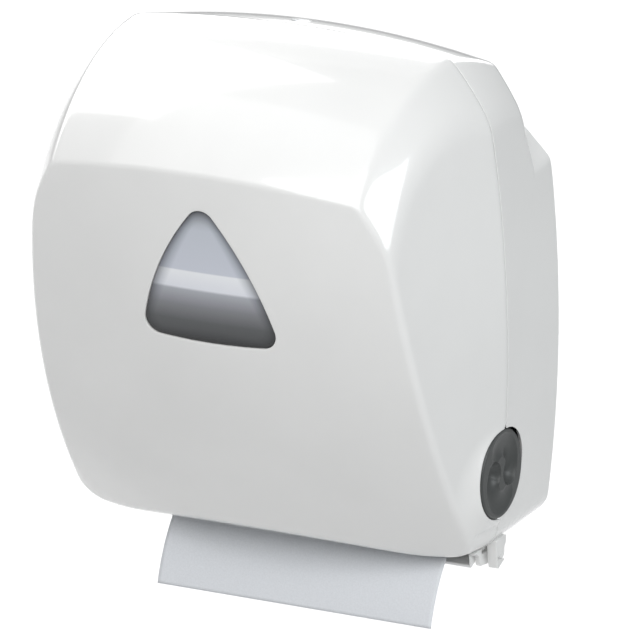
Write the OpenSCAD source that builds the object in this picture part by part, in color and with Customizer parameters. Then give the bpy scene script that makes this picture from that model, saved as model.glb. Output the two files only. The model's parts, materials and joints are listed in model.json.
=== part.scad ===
// Autocut paper towel dispenser: a wall case with a drop-front cover, a towel roll on
// two arms, and a feed drum that carries a swinging cutter.
// Millimetres. +Z is up, the wall face is Y = 0, the front looks along -Y and the
// origin is the centre of the four wall screws. Distances from the wall are positive.

/* [Case] */
// Half-width of the case at its widest point on the parting line
case_half_w = 160.9; // [158:0.1:170]
// Height of the dome above the wall screws' centre
case_top = 179; // [176:0.5:190]
// Depth of the case's bottom below the wall screws' centre
case_bottom = 172; // [170:0.5:180]
// Distance from the wall to the parting line of case and cover
parting_d = 84; // [82:0.5:88]
// Wall thickness of the case and the cover
wall = 2.5; // [2:0.1:3.2]
// Thickness of the back plate
back_t = 3; // [2.6:0.1:4]
// Gap along the parting line
part_gap = 0.6; // [0.4:0.1:1]
// Radius of the lower corners
corner_r = 20; // [16:0.5:24]
// Depth of the flange at the wall
flange_d = 28; // [24:0.5:34]
// Height of the flange above the wall screws' centre
flange_top = 124; // [118:1:130]
// Half-width of the flange's flat top, inside its chamfered corners
flange_flat = 110; // [100:1:114]
// Distance between the wall screws, sideways
screw_span_x = 140; // [120:1:150]
// Distance between the wall screws, upwards
screw_span_z = 200; // [180:1:210]
// Radius of a wall screw hole
screw_hole_r = 2.75; // [2.25:0.05:3.25]

/* [Outer form] */
// Radius of the bowed front face
front_r = 476.5; // [460:0.5:500]
// Distance from the wall to the foremost point of the front face
front_d = 227.3; // [222:0.1:232]
// Height of the foremost point
front_z = 113.9; // [108:0.1:118]
// Radius of the dome from front to back
dome_r = 152.4; // [148:0.2:156]
// Radius of the sweep that the dome's section follows
dome_sweep = 217.2; // [212:0.2:224]
// Tilt of the sweep's axis, in degrees
dome_tilt = 20.5; // [18:0.1:22]
// Distance from the foremost point of the front face back to the crown of the dome
dome_back = 126; // [123:0.1:129]
// Radius of the rear case's arched top, from side to side
arch_r = 640; // [580:5:700]
// Radius of the rear case's arched top, from front to back
crown_r = 190; // [175:1:205]
// Radius of the bowed sides, up and down
side_r = 1026.6; // [960:1:1100]
// Height of the widest point of the sides
side_z = -35.6; // [-45:0.2:-25]
// Draft of the cover's sides, in degrees
cover_draft = 10.6; // [9:0.1:12]
// Draft of the rear case's sides, in degrees
case_draft = 1.4; // [0.5:0.1:3]
// Radius of the shoulder bands
band_r = 235.1; // [232:0.1:240]
// Distance from a side of the case in to the centre of that side's band
band_in = 217.8; // [215:0.1:219]
// Distance from the wall to the band's centre
band_d = 77.5; // [74:0.1:82]
// Drop of the band's centre below the dome
band_drop = 166.8; // [164:0.1:169]
// Distance from the wall at which the cover's bottom starts to rise
rake_d = 114; // [110:0.5:118]
// Rise of the cover's bottom towards the front, in degrees
rake = 24; // [18:0.5:28]

/* [Window] */
// Sideways place of the window's centre line
window_x = 3.5; // [0:0.5:5]
// Height of the window's lower corner centres
window_z = 3.5; // [0:0.5:8]
// Half the distance between the lower corner centres
window_half_w = 37.5; // [32:0.5:42]
// Rise from the lower corner centres to the upper corner centre
window_h = 73.3; // [66:0.1:78]
// Radius of the window's corners
window_corner_r = 10.8; // [8:0.1:13]
// Radius of the window's two bowed sides
window_side_r = 205; // [170:1:260]
// Radius of the window's bowed lower edge
window_base_r = 520; // [400:5:800]
// Depth of the pane's face below the cover's face
window_recess = 1.2; // [0.8:0.1:1.6]
// Gap around the pane
window_gap = 0.3; // [0.2:0.05:0.5]
// Thickness of the pane's flange behind the cover
pane_t = 1.5; // [1.2:0.1:2.5]
// Reach of the pane's flange past the hole
pane_lap = 5; // [3:0.5:7]
// Thickness of the retainer behind the pane
retainer_t = 2; // [1.5:0.1:3]
// Width of the retainer inside the hole's edge
retainer_lap = 1.5; // [1:0.1:4]

/* [Paper] */
// Distance from the case's left side in to the paper's edge
paper_left_in = 77.9; // [77.5:0.1:83]
// Distance from the case's right side in to the paper's edge
paper_right_in = 37.9; // [37:0.1:41]
// Radius of the full roll
roll_r = 80; // [70:0.5:86]
// Set-back of the roll's axis from halfway between the wall and the foremost point
roll_back = 1.65; // [0:0.05:4]
// Height of the roll's axis
roll_z = 48; // [44:0.5:52]
// Bore radius of the roll's core
core_r = 19; // [17:0.1:21]
// Thickness of the core
core_t = 2; // [1.5:0.1:3]
// Thickness of the paper sheets as modelled
sheet_t = 0.6; // [0.4:0.1:0.8]
// Slope of the paper's way out, below level, in degrees
exit_slope = 40; // [38:0.5:44]
// Length of the straight way out from the drum
exit_run = 38; // [36:0.5:42]
// Radius of the hanging tail's bend
tail_r = 100; // [80:1:120]
// Slope at the tail's lower edge, in degrees
tail_end_slope = 75; // [66:0.5:78]

/* [Drum] */
// Distance from the wall to the drum's axis
drum_d = 85; // [84:0.1:86]
// Height of the drum's axis
drum_z = -114.7; // [-116:0.1:-112]
// Outer radius of the drum
drum_r = 37; // [36:0.1:37.5]
// Thickness of the drum's shell
drum_t = 3; // [2.4:0.1:3.4]
// Thickness of the drum's ends
drum_end_t = 6; // [4:0.1:8]
// Gap between the drum's left end and the cam plate
cam_gap = 4; // [3.6:0.1:5]
// Radius of the drum's shaft
shaft_r = 5; // [4:0.1:6]
// Number of grip bands
band_count = 5; // [3:1:7]
// Width of a grip band
band_w = 12; // [8:0.5:16]
// Height of a grip band above the drum
band_proud = 0.3; // [0.2:0.05:0.5]
// Depth of a grip band's groove
band_groove = 1; // [0.6:0.1:1.4]

/* [Cutter] */
// Angle of the blade slot about the drum's axis at rest, in degrees
slot_angle = 225; // [220:1:230]
// Radial place of the cutter's pivot
pivot_a = 16; // [15:0.1:17]
// Sideways place of the cutter's pivot
pivot_b = -22; // [-23:0.1:-21]
// Radial place of the blade's edge at rest
edge_a = 33; // [32:0.1:33.5]
// Sideways place of the blade's edge at rest
edge_b = 2; // [1:0.1:3]
// Radius of the cutter's pivot rod
pivot_r = 2.5; // [2:0.1:2.8]
// Thickness of the blade carrier's arm
carrier_t = 3; // [2.4:0.1:3.6]
// Length of the blade carrier's arm
carrier_l = 18; // [15:0.5:20]
// Thickness of the blade
blade_t = 0.8; // [0.5:0.1:1.2]
// Pitch of the blade's teeth
tooth_pitch = 4; // [3:0.1:6]
// Height of the blade's teeth
tooth_h = 3; // [2:0.1:4]
// Radius of the cam roller
cam_roller_r = 4; // [3:0.1:4.2]
// Thickness of the cam plate
cam_t = 5; // [4:0.1:6]

/* [Drive] */
// Radius of the feed knob
knob_r = 31; // [29:0.1:31.5]
// Thickness of the feed knob's disc
knob_t = 10.5; // [9:0.1:12]
// Inset of the knob's face from the case's widest point
knob_inset = 3.2; // [2:0.1:4.5]
// Gap around the knob
knob_gap = 0.8; // [0.5:0.1:1.2]
// Throw of the crank
crank_throw = 20; // [17:0.5:22]
// Thickness of the crank arm
crank_t = 4; // [3:0.1:5]
// Radius of the crank pin
crank_pin_r = 2.5; // [2:0.1:3]
// Radius of the pinch roller's sleeves
pinch_r = 8; // [7.5:0.1:8.5]
// Radius of the pinch roller's shaft
pinch_shaft_r = 4; // [3:0.1:5]
// Nip gap between drum and pinch roller
nip_gap = 0.3; // [0.25:0.05:0.5]
// Mean coil radius of the return spring
spring_r = 5; // [4:0.1:6]
// Wire radius of the return spring
spring_wire_r = 0.9; // [0.6:0.05:1]
// Turns of the return spring
spring_turns = 18; // [12:1:22]
// Height of the return spring's anchor
anchor_z = -2; // [-8:0.5:4]

/* [Chassis] */
// Thickness of the side plates
plate_t = 3; // [2.5:0.1:4]
// Gap from the paper to the right side plate
plate_gap = 5; // [4:0.1:5.5]
// Radius of the side plates' nose about the drum
plate_nose_r = 54; // [53:0.5:58]
// Height of the side plates' back edge above the drum's axis
plate_rise = 46; // [44:0.5:50]
// Gap from the side plates to the case's bottom
plate_lift = 3.5; // [3:0.1:5]
// Width of the feet against the back plate
foot_w = 14; // [12:0.5:15]
// Thickness of the feet
foot_t = 3; // [2.5:0.1:4]
// Radius of the tie rods
tie_r = 4; // [3:0.1:4.2]
// Wall thickness of a bush
bush_t = 3; // [2:0.1:3.5]
// Radial running clearance
run_gap = 0.05; // [0.03:0.01:0.08]
// Thickness of the paper guide
guide_t = 1.5; // [1.2:0.1:2]
// Gap from the paper to the guide
guide_gap = 2.5; // [2:0.1:3]
// Thickness of the roll arms
arm_t = 4; // [3:0.1:5]
// Half-height of the roll arms
arm_half_h = 12; // [9:0.5:14]
// Radius of the roll arms' eyes
arm_eye_r = 16; // [14:0.5:20]
// Reach of a hub into the core
hub_reach = 10; // [7:0.5:11]
// Radius of the plunger's stem
plunger_r = 8; // [6:0.1:9]
// Free travel of the plunger
plunger_travel = 12; // [11:0.5:14]
// Head radius of the screws
screw_head_r = 3.5; // [3:0.1:4]
// Shank radius of the screws
screw_shank_r = 1.8; // [1.5:0.1:2]

/* [Hinge and lock] */
// Distance from the wall to the hinge axis
hinge_d = 62; // [58:0.5:66]
// Drop of the hinge axis below the case's bottom
hinge_drop = 8; // [7.5:0.1:10]
// Radius of the hinge pins
hinge_pin_r = 2.5; // [2:0.1:3]
// Radius of the hinge ears
ear_r = 6; // [5:0.1:6.5]
// Distance from the case's widest point in to the inside of a hinge lug
lug_inset = 21.4; // [20:0.1:21.9]
// Width of the hinge lugs
lug_w = 5; // [4:0.1:6]
// Width of the hinge ears
ear_w = 6; // [4:0.1:6.4]
// Side gap between ear and lug
ear_gap = 2.4; // [1.6:0.1:2.6]
// Distance from the wall to the lock's axis
lock_d = 70; // [68:0.5:71]
// Radius of the lock barrel
lock_r = 7; // [6:0.1:8]
// Reach of the lock tongue
tongue_reach = 15; // [14.5:0.1:16]
// Half-width of the cover's catch
catch_half_w = 4; // [3:0.1:4.4]

/* [Hidden] */
$fn = 96;
// Facets of the large outer surfaces, and a length past every edge of the case
form_fn = 240;
reach = 300;
// Steps along each corner and side of the window, and along the tail's bend
outline_steps = 8;
tail_steps = 12;
// A cut past a face, and the small gap of a fixed seat
cut = 1;
seat = 0.05;

white = [0.93, 0.93, 0.92];
charcoal = [0.27, 0.28, 0.28];
steel = [0.72, 0.73, 0.75];
rubber = [0.16, 0.16, 0.17];
pale_paper = [0.92, 0.94, 0.96];
nylon = [0.86, 0.86, 0.83];

// Half-width of the case's side at a height, on the parting line
function side_at(z, draft) =
    case_half_w - (side_r - sqrt(side_r * side_r - (z - side_z) * (z - side_z))) / cos(draft);
// Height of the middle of the cover's dome or of the case's arch, whose radius from front
// to back is r, at a distance from the wall
function top_at(d, r) = case_top - r + sqrt(r * r - (d - dome_d) * (d - dome_d));
// Points of an arc, from one angle to another
function arc(cx, cy, r, a0, a1, n) =
    [for (i = [0:n]) let (a = a0 + (a1 - a0) * i / n) [cx + r * cos(a), cy + r * sin(a)]];
function angle_of(v) = atan2(v[1], v[0]);
function unit(v) = v / norm(v);
// Angle turned from one direction to another, from 0 up to a full turn
full_turn = 360;
function turn_between(a, b) = (b - a + 2 * full_turn) % full_turn;

dome_d = front_d - dome_back;
roll_d = front_d / 2 - roll_back;
lug_x = case_half_w - lug_inset;
bottom_z = -case_bottom;
corner_z = corner_r - case_bottom;
hinge_z = bottom_z - hinge_drop;
paper_left = paper_left_in - case_half_w;
paper_right = case_half_w - paper_right_in;
end_gap = 1;
right_plate_x = paper_right + plate_gap;
drum_right = right_plate_x - end_gap;
drum_left = paper_left - plate_gap + end_gap;
cam_x = drum_left - cam_gap;
left_plate_x = cam_x - cam_t;
grip_r = drum_r + band_proud;
pinch_d = drum_d - grip_r - nip_gap - pinch_r;
knob_face = case_half_w - knob_inset;
knob_back = knob_face - knob_t;
drum_in_r = drum_r - drum_t;
// The cutter's arm at rest, from its pivot to the blade's edge
cutter_v = [edge_a - pivot_a, edge_b - pivot_b];
cutter_l = norm(cutter_v);
cutter_angle = angle_of(cutter_v);
// The cam roller rides ahead of the pivot: it swings out into the cam's pocket with the blade
roller_arm = [7, 12];
roller_p = [pivot_a, pivot_b] + roller_arm;
cutter_turn = 28;
roller_out = [pivot_a, pivot_b] + [roller_arm * [cos(cutter_turn), sin(cutter_turn)],
    roller_arm * [-sin(cutter_turn), cos(cutter_turn)]];
roller_pin_r = 1.5;
roller_side_gap = 0.5;
cam_play = 0.3;
cam_rim = 2.5;
cam_hole_r = norm(roller_p) + cam_roller_r + cam_play;
cam_ring_r = drum_r + cam_rim;
pocket_r = 12;
pocket_reach = norm(roller_out) + cam_roller_r + cam_play;
pocket_angle = slot_angle + angle_of(roller_out);
// The cam is a segment around the pocket, cut off at this distance from the drum's axis
cam_chord = 8;
// The crank and its spring stand outside the left plate
crank_off = 8;
spring_off = 7;
pin_tail = 5;
crank_x = left_plate_x - plate_t - crank_off;
spring_x = crank_x - crank_t - spring_off;
crank_pin_end = spring_x - pin_tail;
shaft_bite = 4;
hub_wall = 4;
// The paper's middle line around the drum, and its way out as [y, z]
paper_gap = 0.6;
web_r = grip_r + paper_gap;
exit_point = [-drum_d + web_r * sin(exit_slope), drum_z - web_r * cos(exit_slope)];
exit_dir = [-cos(exit_slope), -sin(exit_slope)];
exit_down = [sin(exit_slope), -cos(exit_slope)];
guide_behind = 14;
guide_l = 30;
foot_z0 = bottom_z + wall + plate_lift;
plate_top = drum_z + plate_rise;
// Tie rods over the drum, at the top and at the foot of the plates, as [y, z]
tie_over_drum = [-23, 43];
tie_at_top = [-20, -8];
tie_at_foot = [-24, 12];
tie_places = [[-drum_d, drum_z] + tie_over_drum, [0, plate_top] + tie_at_top,
    [0, foot_z0] + tie_at_foot];
// The roll's hub on the right, and the plunger and its spring on the left
hub_gap = 0.1;
arm_gap = 3;
plunger_shut = 6;
plunger_space = plunger_travel + plunger_shut;
head_rim = 7;
head_back = paper_left - head_rim;
left_arm_x = head_back - plunger_space;
right_arm_x = paper_right + arm_gap;
plunger_tail = 4;
plunger_end = left_arm_x - arm_t - plunger_travel - plunger_tail;
hook_gap = 0.3;
plunger_wire_r = 0.8;
plunger_turns = 4;
plunger_spring_r = plunger_r + hook_gap + 2 * plunger_wire_r;
plunger_spring_l = plunger_space - 2 * (hook_gap + plunger_wire_r);
// Hinge, and the chute and the cover's opening beside it
hinge_in = lug_x - ear_gap - ear_w;
hinge_out = lug_x + lug_w + ear_gap + ear_w;
chute_gap = 2;
chute_left = paper_left + chute_gap;
chute_right = lug_x - chute_gap;
chute_right_in = hinge_in - chute_gap;
chute_t = 2.5;
chute_back_d = 48;
chute_fold_back = 1;
chute_front_d = parting_d - chute_fold_back;
chute_turn_d = hinge_d + ear_r + chute_gap;
lip_run = 9;
lip_fall = 7;
opening_margin = 12;
opening_left = paper_left - opening_margin;
opening_right = lug_x - chute_gap / 2;
// Lock and catch
lock_sink = 0.3;
lock_boss_h = 6;
lock_top = top_at(lock_d - lock_r, crown_r) - lock_sink;
lock_floor = lock_top - lock_boss_h;
catch_gap = 1.2;
catch_top = lock_floor - catch_gap;
catch_t = 3;
catch_lip = 10;
catch_seat = 0.1;
catch_back_d = lock_d + lock_r;
tongue_t = 3;
tongue_gap = 2;
tongue_z = catch_top - catch_t - catch_lip - tongue_gap - tongue_t;
spindle_r = 4;
// Width of the drum's plain rims beside the blade slot
rim_w = 3;
// The return spring, from the crank pin up to its anchor
spring_stub = 4;
spring_low = drum_z + crank_throw + crank_pin_r + hook_gap;
spring_l = anchor_z - hook_gap - spring_low;
anchor_w = 8;
// Screws, as [x, z] on the back plate, and sideways places under the case
screw_off = 14;
left_plate_screws = [for (z = [corner_z + screw_off, plate_top - screw_off])
    [left_plate_x - plate_t - foot_w / 2, z]];
right_plate_screws = [for (z = [corner_z + screw_off, plate_top - screw_off])
    [right_plate_x + plate_t + foot_w / 2, z]];
left_arm_screws = [for (s = [-1, 1]) [left_arm_x - arm_t - foot_w / 2, roll_z + s * arm_half_h / 2]];
right_arm_screws = [for (s = [-1, 1]) [right_arm_x + arm_t + foot_w / 2, roll_z + s * arm_half_h / 2]];
anchor_screws = [[spring_x, anchor_z - anchor_w]];
chute_screw_in = 30;
chute_screw_x = [chute_left + chute_screw_in, chute_right_in - chute_screw_in];
chute_screw_d = (chute_turn_d + chute_back_d) / 2;

// Outer form

module front_limit(inset) {
    translate([0, front_r - front_d, front_z])
        sphere(r = front_r - inset, $fn = form_fn);
}

module dome_limit(inset) {
    fill = 0.75;
    translate([0, dome_sweep * cos(dome_tilt) - dome_d, case_top - dome_r - dome_sweep * sin(dome_tilt)])
        rotate([-dome_tilt, 0, 0])
            rotate_extrude($fn = form_fn) {
                translate([dome_sweep, 0])
                    circle(r = dome_r - inset);
                translate([0, -2 * reach])
                    square([dome_sweep + fill * dome_r, 2 * reach]);
            }
}

// The rear case's top, turned about a level axis far below it
module arch_limit(inset) {
    ring_r = arch_r - crown_r;
    translate([0, -dome_d, case_top - arch_r])
        rotate([90, 0, 0])
            rotate_extrude($fn = 2 * form_fn) {
                translate([ring_r, 0])
                    circle(r = crown_r - inset, $fn = form_fn);
                translate([0, inset - crown_r])
                    square([ring_r, 2 * (crown_r - inset)]);
            }
}

module one_side(inset, draft) {
    translate([case_half_w - side_r / cos(draft), -parting_d, side_z])
        rotate([0, 0, -draft])
            rotate([-90, 0, 0])
                cylinder(r = side_r - inset, h = 2 * reach, center = true, $fn = 2 * form_fn);
}

module one_band(inset) {
    translate([case_half_w - band_in, -band_d, case_top - band_drop]) {
        sphere(r = band_r - inset, $fn = form_fn);
        translate([-reach, -reach, -2 * reach])
            cube([2 * reach, 2 * reach, 2 * reach]);
    }
}

// The lower corner follows the side's draft
module one_corner(inset, draft) {
    ease = 0.3;
    x = side_at(corner_z, draft) * cos(draft) - corner_r + ease;
    points = concat(
        [[-2 * reach, bottom_z + inset]],
        arc(x, corner_z, corner_r - inset, 270, 360, 10),
        [[2 * reach, corner_z], [2 * reach, reach], [-2 * reach, reach]]);
    translate([0, -parting_d, 0])
        rotate([0, 0, -draft])
            rotate([90, 0, 0])
                linear_extrude(height = 2 * reach, center = true)
                    polygon(points);
}

module both_sides() {
    intersection() {
        children();
        mirror([1, 0, 0]) children();
    }
}

module rake_limit(inset) {
    translate([0, -rake_d, bottom_z])
        rotate([-rake, 0, 0])
            translate([-reach, -reach, inset])
                cube([2 * reach, 2 * reach, 2 * reach]);
}

module cover_form(inset) {
    intersection() {
        front_limit(inset);
        dome_limit(inset);
        both_sides() one_side(inset, cover_draft);
        both_sides() one_band(inset);
        both_sides() one_corner(inset, cover_draft);
        rake_limit(inset);
    }
}

module slab(d0, d1) {
    translate([-reach, -d1, -reach])
        cube([2 * reach, d1 - d0, 2 * reach]);
}

module flange_prism(inset, d0, d1) {
    chamfer = 45;
    top = flange_top - inset;
    flat = flange_flat - inset * tan(chamfer / 2);
    low = top - (reach - flat) * tan(chamfer);
    translate([0, -d0, 0])
        rotate([90, 0, 0])
            linear_extrude(height = d1 - d0)
                polygon([[-reach, -reach], [reach, -reach], [reach, low],
                    [flat, top], [-flat, top], [-reach, low]]);
}

module case_form(inset, d0, d1) {
    intersection() {
        arch_limit(inset);
        both_sides() one_side(inset, -case_draft);
        both_sides() one_band(inset);
        both_sides() one_corner(inset, -case_draft);
        union() {
            slab(flange_d + inset, d1);
            flange_prism(inset, d0, d1);
        }
    }
}

// Helpers along the drum's axis and about it

module along_x(x0, x1, d, z, r) {
    translate([x0, -d, z])
        rotate([0, 90, 0])
            cylinder(r = r, h = x1 - x0);
}

module tube_x(x0, x1, d, z, r_out, r_in) {
    difference() {
        along_x(x0, x1, d, z, r_out);
        along_x(x0 - cut, x1 + cut, d, z, r_in);
    }
}

// A flat outline given as [y, z] points, drawn from one side to the other
module profile_x(x0, x1) {
    translate([x0, 0, 0])
        rotate([90, 0, 90])
            linear_extrude(height = x1 - x0)
                children();
}

// The drum's own frame: its second axis points out through the blade slot
module in_drum() {
    translate([0, -drum_d, drum_z])
        rotate([slot_angle, 0, 0])
            children();
}

// The cutter's own frame: its second axis points from the pivot to the blade's edge
module in_cutter() {
    in_drum()
        translate([0, pivot_a, pivot_b])
            rotate([cutter_angle, 0, 0])
                children();
}

module local_x(x0, x1, a, b, r) {
    translate([x0, a, b])
        rotate([0, 90, 0])
            cylinder(r = r, h = x1 - x0);
}

// A screw whose head's seat is at the origin and whose shank points along +Z
module screw(head_h, shank_l) {
    slot_w = 0.8;
    slot_l = 1.2 * screw_head_r;
    difference() {
        union() {
            translate([0, 0, -head_h])
                cylinder(r = screw_head_r, h = head_h);
            translate([0, 0, -seat])
                cylinder(r = screw_shank_r, h = shank_l + seat);
        }
        for (turn = [0, 90])
            rotate([0, 0, turn])
                translate([-slot_l / 2, -slot_w / 2, -head_h - cut])
                    cube([slot_l, slot_w, cut + head_h / 2]);
    }
}

// A closed tube swept along a list of points about the Z axis
tube_sides = 6;
function tube_points(path, r) =
    let (n = len(path))
    [for (i = [0:n - 1])
        let (
            t = unit(path[min(i + 1, n - 1)] - path[max(i - 1, 0)]),
            j = max(1, min(i, n - 2)),
            side = unit(cross(path[j + 1] - path[j - 1], [0, 0, 1])),
            up = unit(cross(side, t)))
        for (k = [0:tube_sides - 1])
            let (a = 360 * k / tube_sides)
            path[i] + r * (cos(a) * side + sin(a) * up)];

module swept_tube(path, r) {
    n = len(path);
    walls = [for (i = [0:n - 2], k = [0:tube_sides - 1])
        let (a = i * tube_sides + k, b = i * tube_sides + (k + 1) % tube_sides)
        each [[a, b, b + tube_sides], [a, b + tube_sides, a + tube_sides]]];
    first = [for (k = [1:tube_sides - 2]) [0, k + 1, k]];
    last = (n - 1) * tube_sides;
    end = [for (k = [1:tube_sides - 2]) [last, last + k, last + k + 1]];
    polyhedron(points = tube_points(path, r), faces = concat(walls, first, end));
}

// A coil along +Z whose ends run in to an inner radius
turn_steps = 8;
function coil_radius(turn, turns, r, inner) =
    inner + (r - inner) * min(1, 2 * turn, 2 * (turns - turn));
function coil_path(length, r, turns, inner, stub) =
    let (steps = turn_steps * turns, run = length - 2 * stub)
    concat(
        stub > 0 ? [[inner, 0, 0]] : [],
        [for (i = [0:steps])
            let (turn = i / turn_steps, rr = coil_radius(turn, turns, r, inner))
            [rr * cos(360 * turn), rr * sin(360 * turn), stub + run * i / steps]],
        stub > 0 ? [[inner, 0, length]] : []);
// Least gap of a coil to itself, between points that lie most of a turn or more apart
function coil_gap(path, wire_r) =
    let (n = len(path), apart = turn_steps - 2)
    min([for (i = [0:n - 1 - apart], j = [i + apart:n - 1]) norm(path[i] - path[j])]) - 2 * wire_r;

return_coil = coil_path(spring_l, spring_r, spring_turns, 0, spring_stub);
plunger_coil = coil_path(plunger_spring_l, plunger_spring_r, plunger_turns, plunger_spring_r, 0);
echo(return_spring_gap = coil_gap(return_coil, spring_wire_r));
echo(plunger_spring_gap = coil_gap(plunger_coil, plunger_wire_r));

// Case

module hinge_ears() {
    for (side = [-1, 1], x = [hinge_in, hinge_out - ear_w])
        translate([side < 0 ? -x - ear_w : x, -hinge_d, hinge_z]) {
            rotate([0, 90, 0])
                cylinder(r = ear_r, h = ear_w);
            translate([0, -ear_r, 0])
                cube([ear_w, 2 * ear_r, hinge_drop + corner_r]);
        }
}

module hinge_bores(r) {
    for (side = [-1, 1])
        along_x(side < 0 ? -case_half_w : 0, side < 0 ? 0 : case_half_w, hinge_d, hinge_z, r);
}

module knob_hole() {
    along_x(knob_back - cut, case_half_w + reach / 10, drum_d, drum_z, knob_r + knob_gap);
}

module lock_boss() {
    boss_t = 4;
    intersection() {
        translate([0, -lock_d, lock_floor])
            cylinder(r = lock_r + boss_t, h = reach);
        case_form(wall / 2, flange_d, parting_d);
    }
}

module rear_case() color(white)
    difference() {
        union() {
            difference() {
                union() {
                    case_form(0, 0, parting_d - part_gap / 2);
                    hinge_ears();
                }
                case_form(wall, back_t, parting_d + cut);
            }
            lock_boss();
        }
        hinge_bores(hinge_pin_r + seat / 2);
        knob_hole();
        translate([0, -lock_d, lock_floor - cut])
            cylinder(r = lock_r + run_gap, h = reach / 4);
        for (x = [-1, 1], z = [-1, 1])
            translate([x * screw_span_x / 2, cut, z * screw_span_z / 2])
                rotate([90, 0, 0])
                    cylinder(r = screw_hole_r, h = back_t + 2 * cut);
    }

module exit_chute() color(white) {
    back = -chute_turn_d;
    fold = -chute_front_d;
    under = bottom_z - chute_t;
    lip_angle = atan2(lip_fall, lip_run);
    lip = [fold - lip_run, bottom_z - lip_fall];
    lip_down = chute_t * [sin(lip_angle), -cos(lip_angle)];
    profile_x(chute_left, chute_right)
        polygon([[back, bottom_z], [fold, bottom_z], lip, lip + lip_down,
            [fold + chute_t * tan(lip_angle / 2), under], [back, under]]);
    difference() {
        translate([chute_left, back, under])
            cube([chute_right_in - chute_left, -chute_back_d - back, chute_t]);
        for (x = chute_screw_x)
            translate([x, -chute_screw_d, under - cut])
                cylinder(r = screw_shank_r + seat, h = chute_t + 2 * cut);
    }
}

// Chassis

// A wide nose over the drum for the tie rod, and a narrow one below for the cover's slope
module plate_outline() {
    plate_rim = 3;
    translate([-drum_d, drum_z]) {
        intersection() {
            circle(r = plate_nose_r);
            translate([-reach, 0])
                square([reach, reach]);
        }
        circle(r = drum_r + plate_rim);
    }
    translate([-drum_d, foot_z0])
        square([drum_d - back_t, plate_top - foot_z0]);
}

module plate_holes(x0, x1) {
    along_x(x0 - cut, x1 + cut, drum_d, drum_z, shaft_r + bush_t + seat);
    along_x(x0 - cut, x1 + cut, pinch_d, drum_z, pinch_shaft_r + bush_t + seat);
    for (p = tie_places)
        along_x(x0 - cut, x1 + cut, -p[0], p[1], tie_r + seat);
}

// A foot against the back plate, from x0 to x1 and from z0 to z1, with its screw holes
module foot(x0, x1, z0, z1, screws) {
    difference() {
        translate([x0, -back_t - foot_t, z0])
            cube([x1 - x0, foot_t, z1 - z0]);
        for (p = screws)
            translate([p[0], 0, p[1]])
                rotate([90, 0, 0])
                    cylinder(r = screw_shank_r + seat, h = back_t + foot_t + cut);
    }
}

module side_plate(x0, foot_x0, foot_x1, screws) {
    difference() {
        profile_x(x0, x0 + plate_t)
            plate_outline();
        plate_holes(x0, x0 + plate_t);
    }
    foot(foot_x0, foot_x1, corner_z, plate_top, screws);
}

module left_side_plate() color(steel)
    side_plate(left_plate_x - plate_t, left_plate_x - plate_t - foot_w, left_plate_x - plate_t / 2,
        left_plate_screws);

module right_side_plate() color(steel)
    side_plate(right_plate_x, right_plate_x + plate_t / 2, right_plate_x + plate_t + foot_w,
        right_plate_screws);

module tie_rods() color(steel)
    for (p = tie_places)
        along_x(left_plate_x - plate_t, right_plate_x + plate_t, -p[0], p[1], tie_r);

module paper_guide() color(white) {
    start = exit_point - guide_behind * exit_dir + guide_gap * exit_down;
    end = exit_point + guide_l * exit_dir + guide_gap * exit_down;
    profile_x(cam_x + seat, right_plate_x)
        polygon([start, end, end + guide_t * exit_down, start + guide_t * exit_down]);
    // The tab reaches past the cam plate to the left side plate
    tab_l = 12;
    profile_x(left_plate_x, cam_x + cut)
        polygon([end - tab_l * exit_dir, end, end + guide_t * exit_down,
            end - tab_l * exit_dir + guide_t * exit_down]);
}

module arm_outline() {
    translate([-roll_d, roll_z])
        circle(r = arm_eye_r);
    translate([-roll_d, roll_z - arm_half_h])
        square([roll_d - back_t, 2 * arm_half_h]);
}

module left_roll_arm() color(white) {
    difference() {
        profile_x(left_arm_x - arm_t, left_arm_x)
            arm_outline();
        along_x(left_arm_x - arm_t - cut, left_arm_x + cut, roll_d, roll_z, plunger_r + run_gap);
    }
    foot(left_arm_x - arm_t - foot_w, left_arm_x - arm_t / 2, roll_z - arm_half_h,
        roll_z + arm_half_h, left_arm_screws);
}

module right_roll_arm() color(white) {
    profile_x(right_arm_x, right_arm_x + arm_t)
        arm_outline();
    along_x(paper_right - hub_reach, right_arm_x + cut, roll_d, roll_z, core_r - hub_gap);
    foot(right_arm_x + arm_t / 2, right_arm_x + arm_t + foot_w, roll_z - arm_half_h,
        roll_z + arm_half_h, right_arm_screws);
}

// A flanged bush in a plate, its flange on the plate's outer face
module bush(x_in, x_out, d, r) {
    flange_t = 1.5;
    toward = x_out > x_in ? 1 : -1;
    body = [x_in, x_out];
    rim = [x_out, x_out + toward * flange_t];
    difference() {
        union() {
            along_x(min(body), max(body), d, drum_z, r + bush_t);
            along_x(min(rim), max(rim), d, drum_z, r + bush_t + flange_t);
        }
        along_x(min(rim[1], x_in) - cut, max(rim[1], x_in) + cut, d, drum_z, r + run_gap);
    }
}

module drum_bushes() color(nylon) {
    bush(left_plate_x, left_plate_x - plate_t, drum_d, shaft_r);
    bush(right_plate_x, right_plate_x + plate_t, drum_d, shaft_r);
}

module pinch_bushes() color(nylon) {
    bush(left_plate_x, left_plate_x - plate_t, pinch_d, pinch_shaft_r);
    bush(right_plate_x, right_plate_x + plate_t, pinch_d, pinch_shaft_r);
}

module cam_plate() color(nylon)
    translate([0, -drum_d, drum_z])
        rotate([pocket_angle, 0, 0])
            difference() {
                local_x(left_plate_x, cam_x, 0, 0, cam_ring_r);
                local_x(left_plate_x - cut, cam_x + cut, 0, 0, cam_hole_r);
                local_x(left_plate_x - cut, cam_x + cut, pocket_reach - pocket_r, 0, pocket_r);
                translate([left_plate_x - cut, cam_chord - reach, -reach / 2])
                    cube([cam_t + 2 * cut, reach, reach]);
            }

module return_spring() color(steel)
    translate([spring_x, -drum_d, spring_low])
        swept_tube(return_coil, spring_wire_r);

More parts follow.
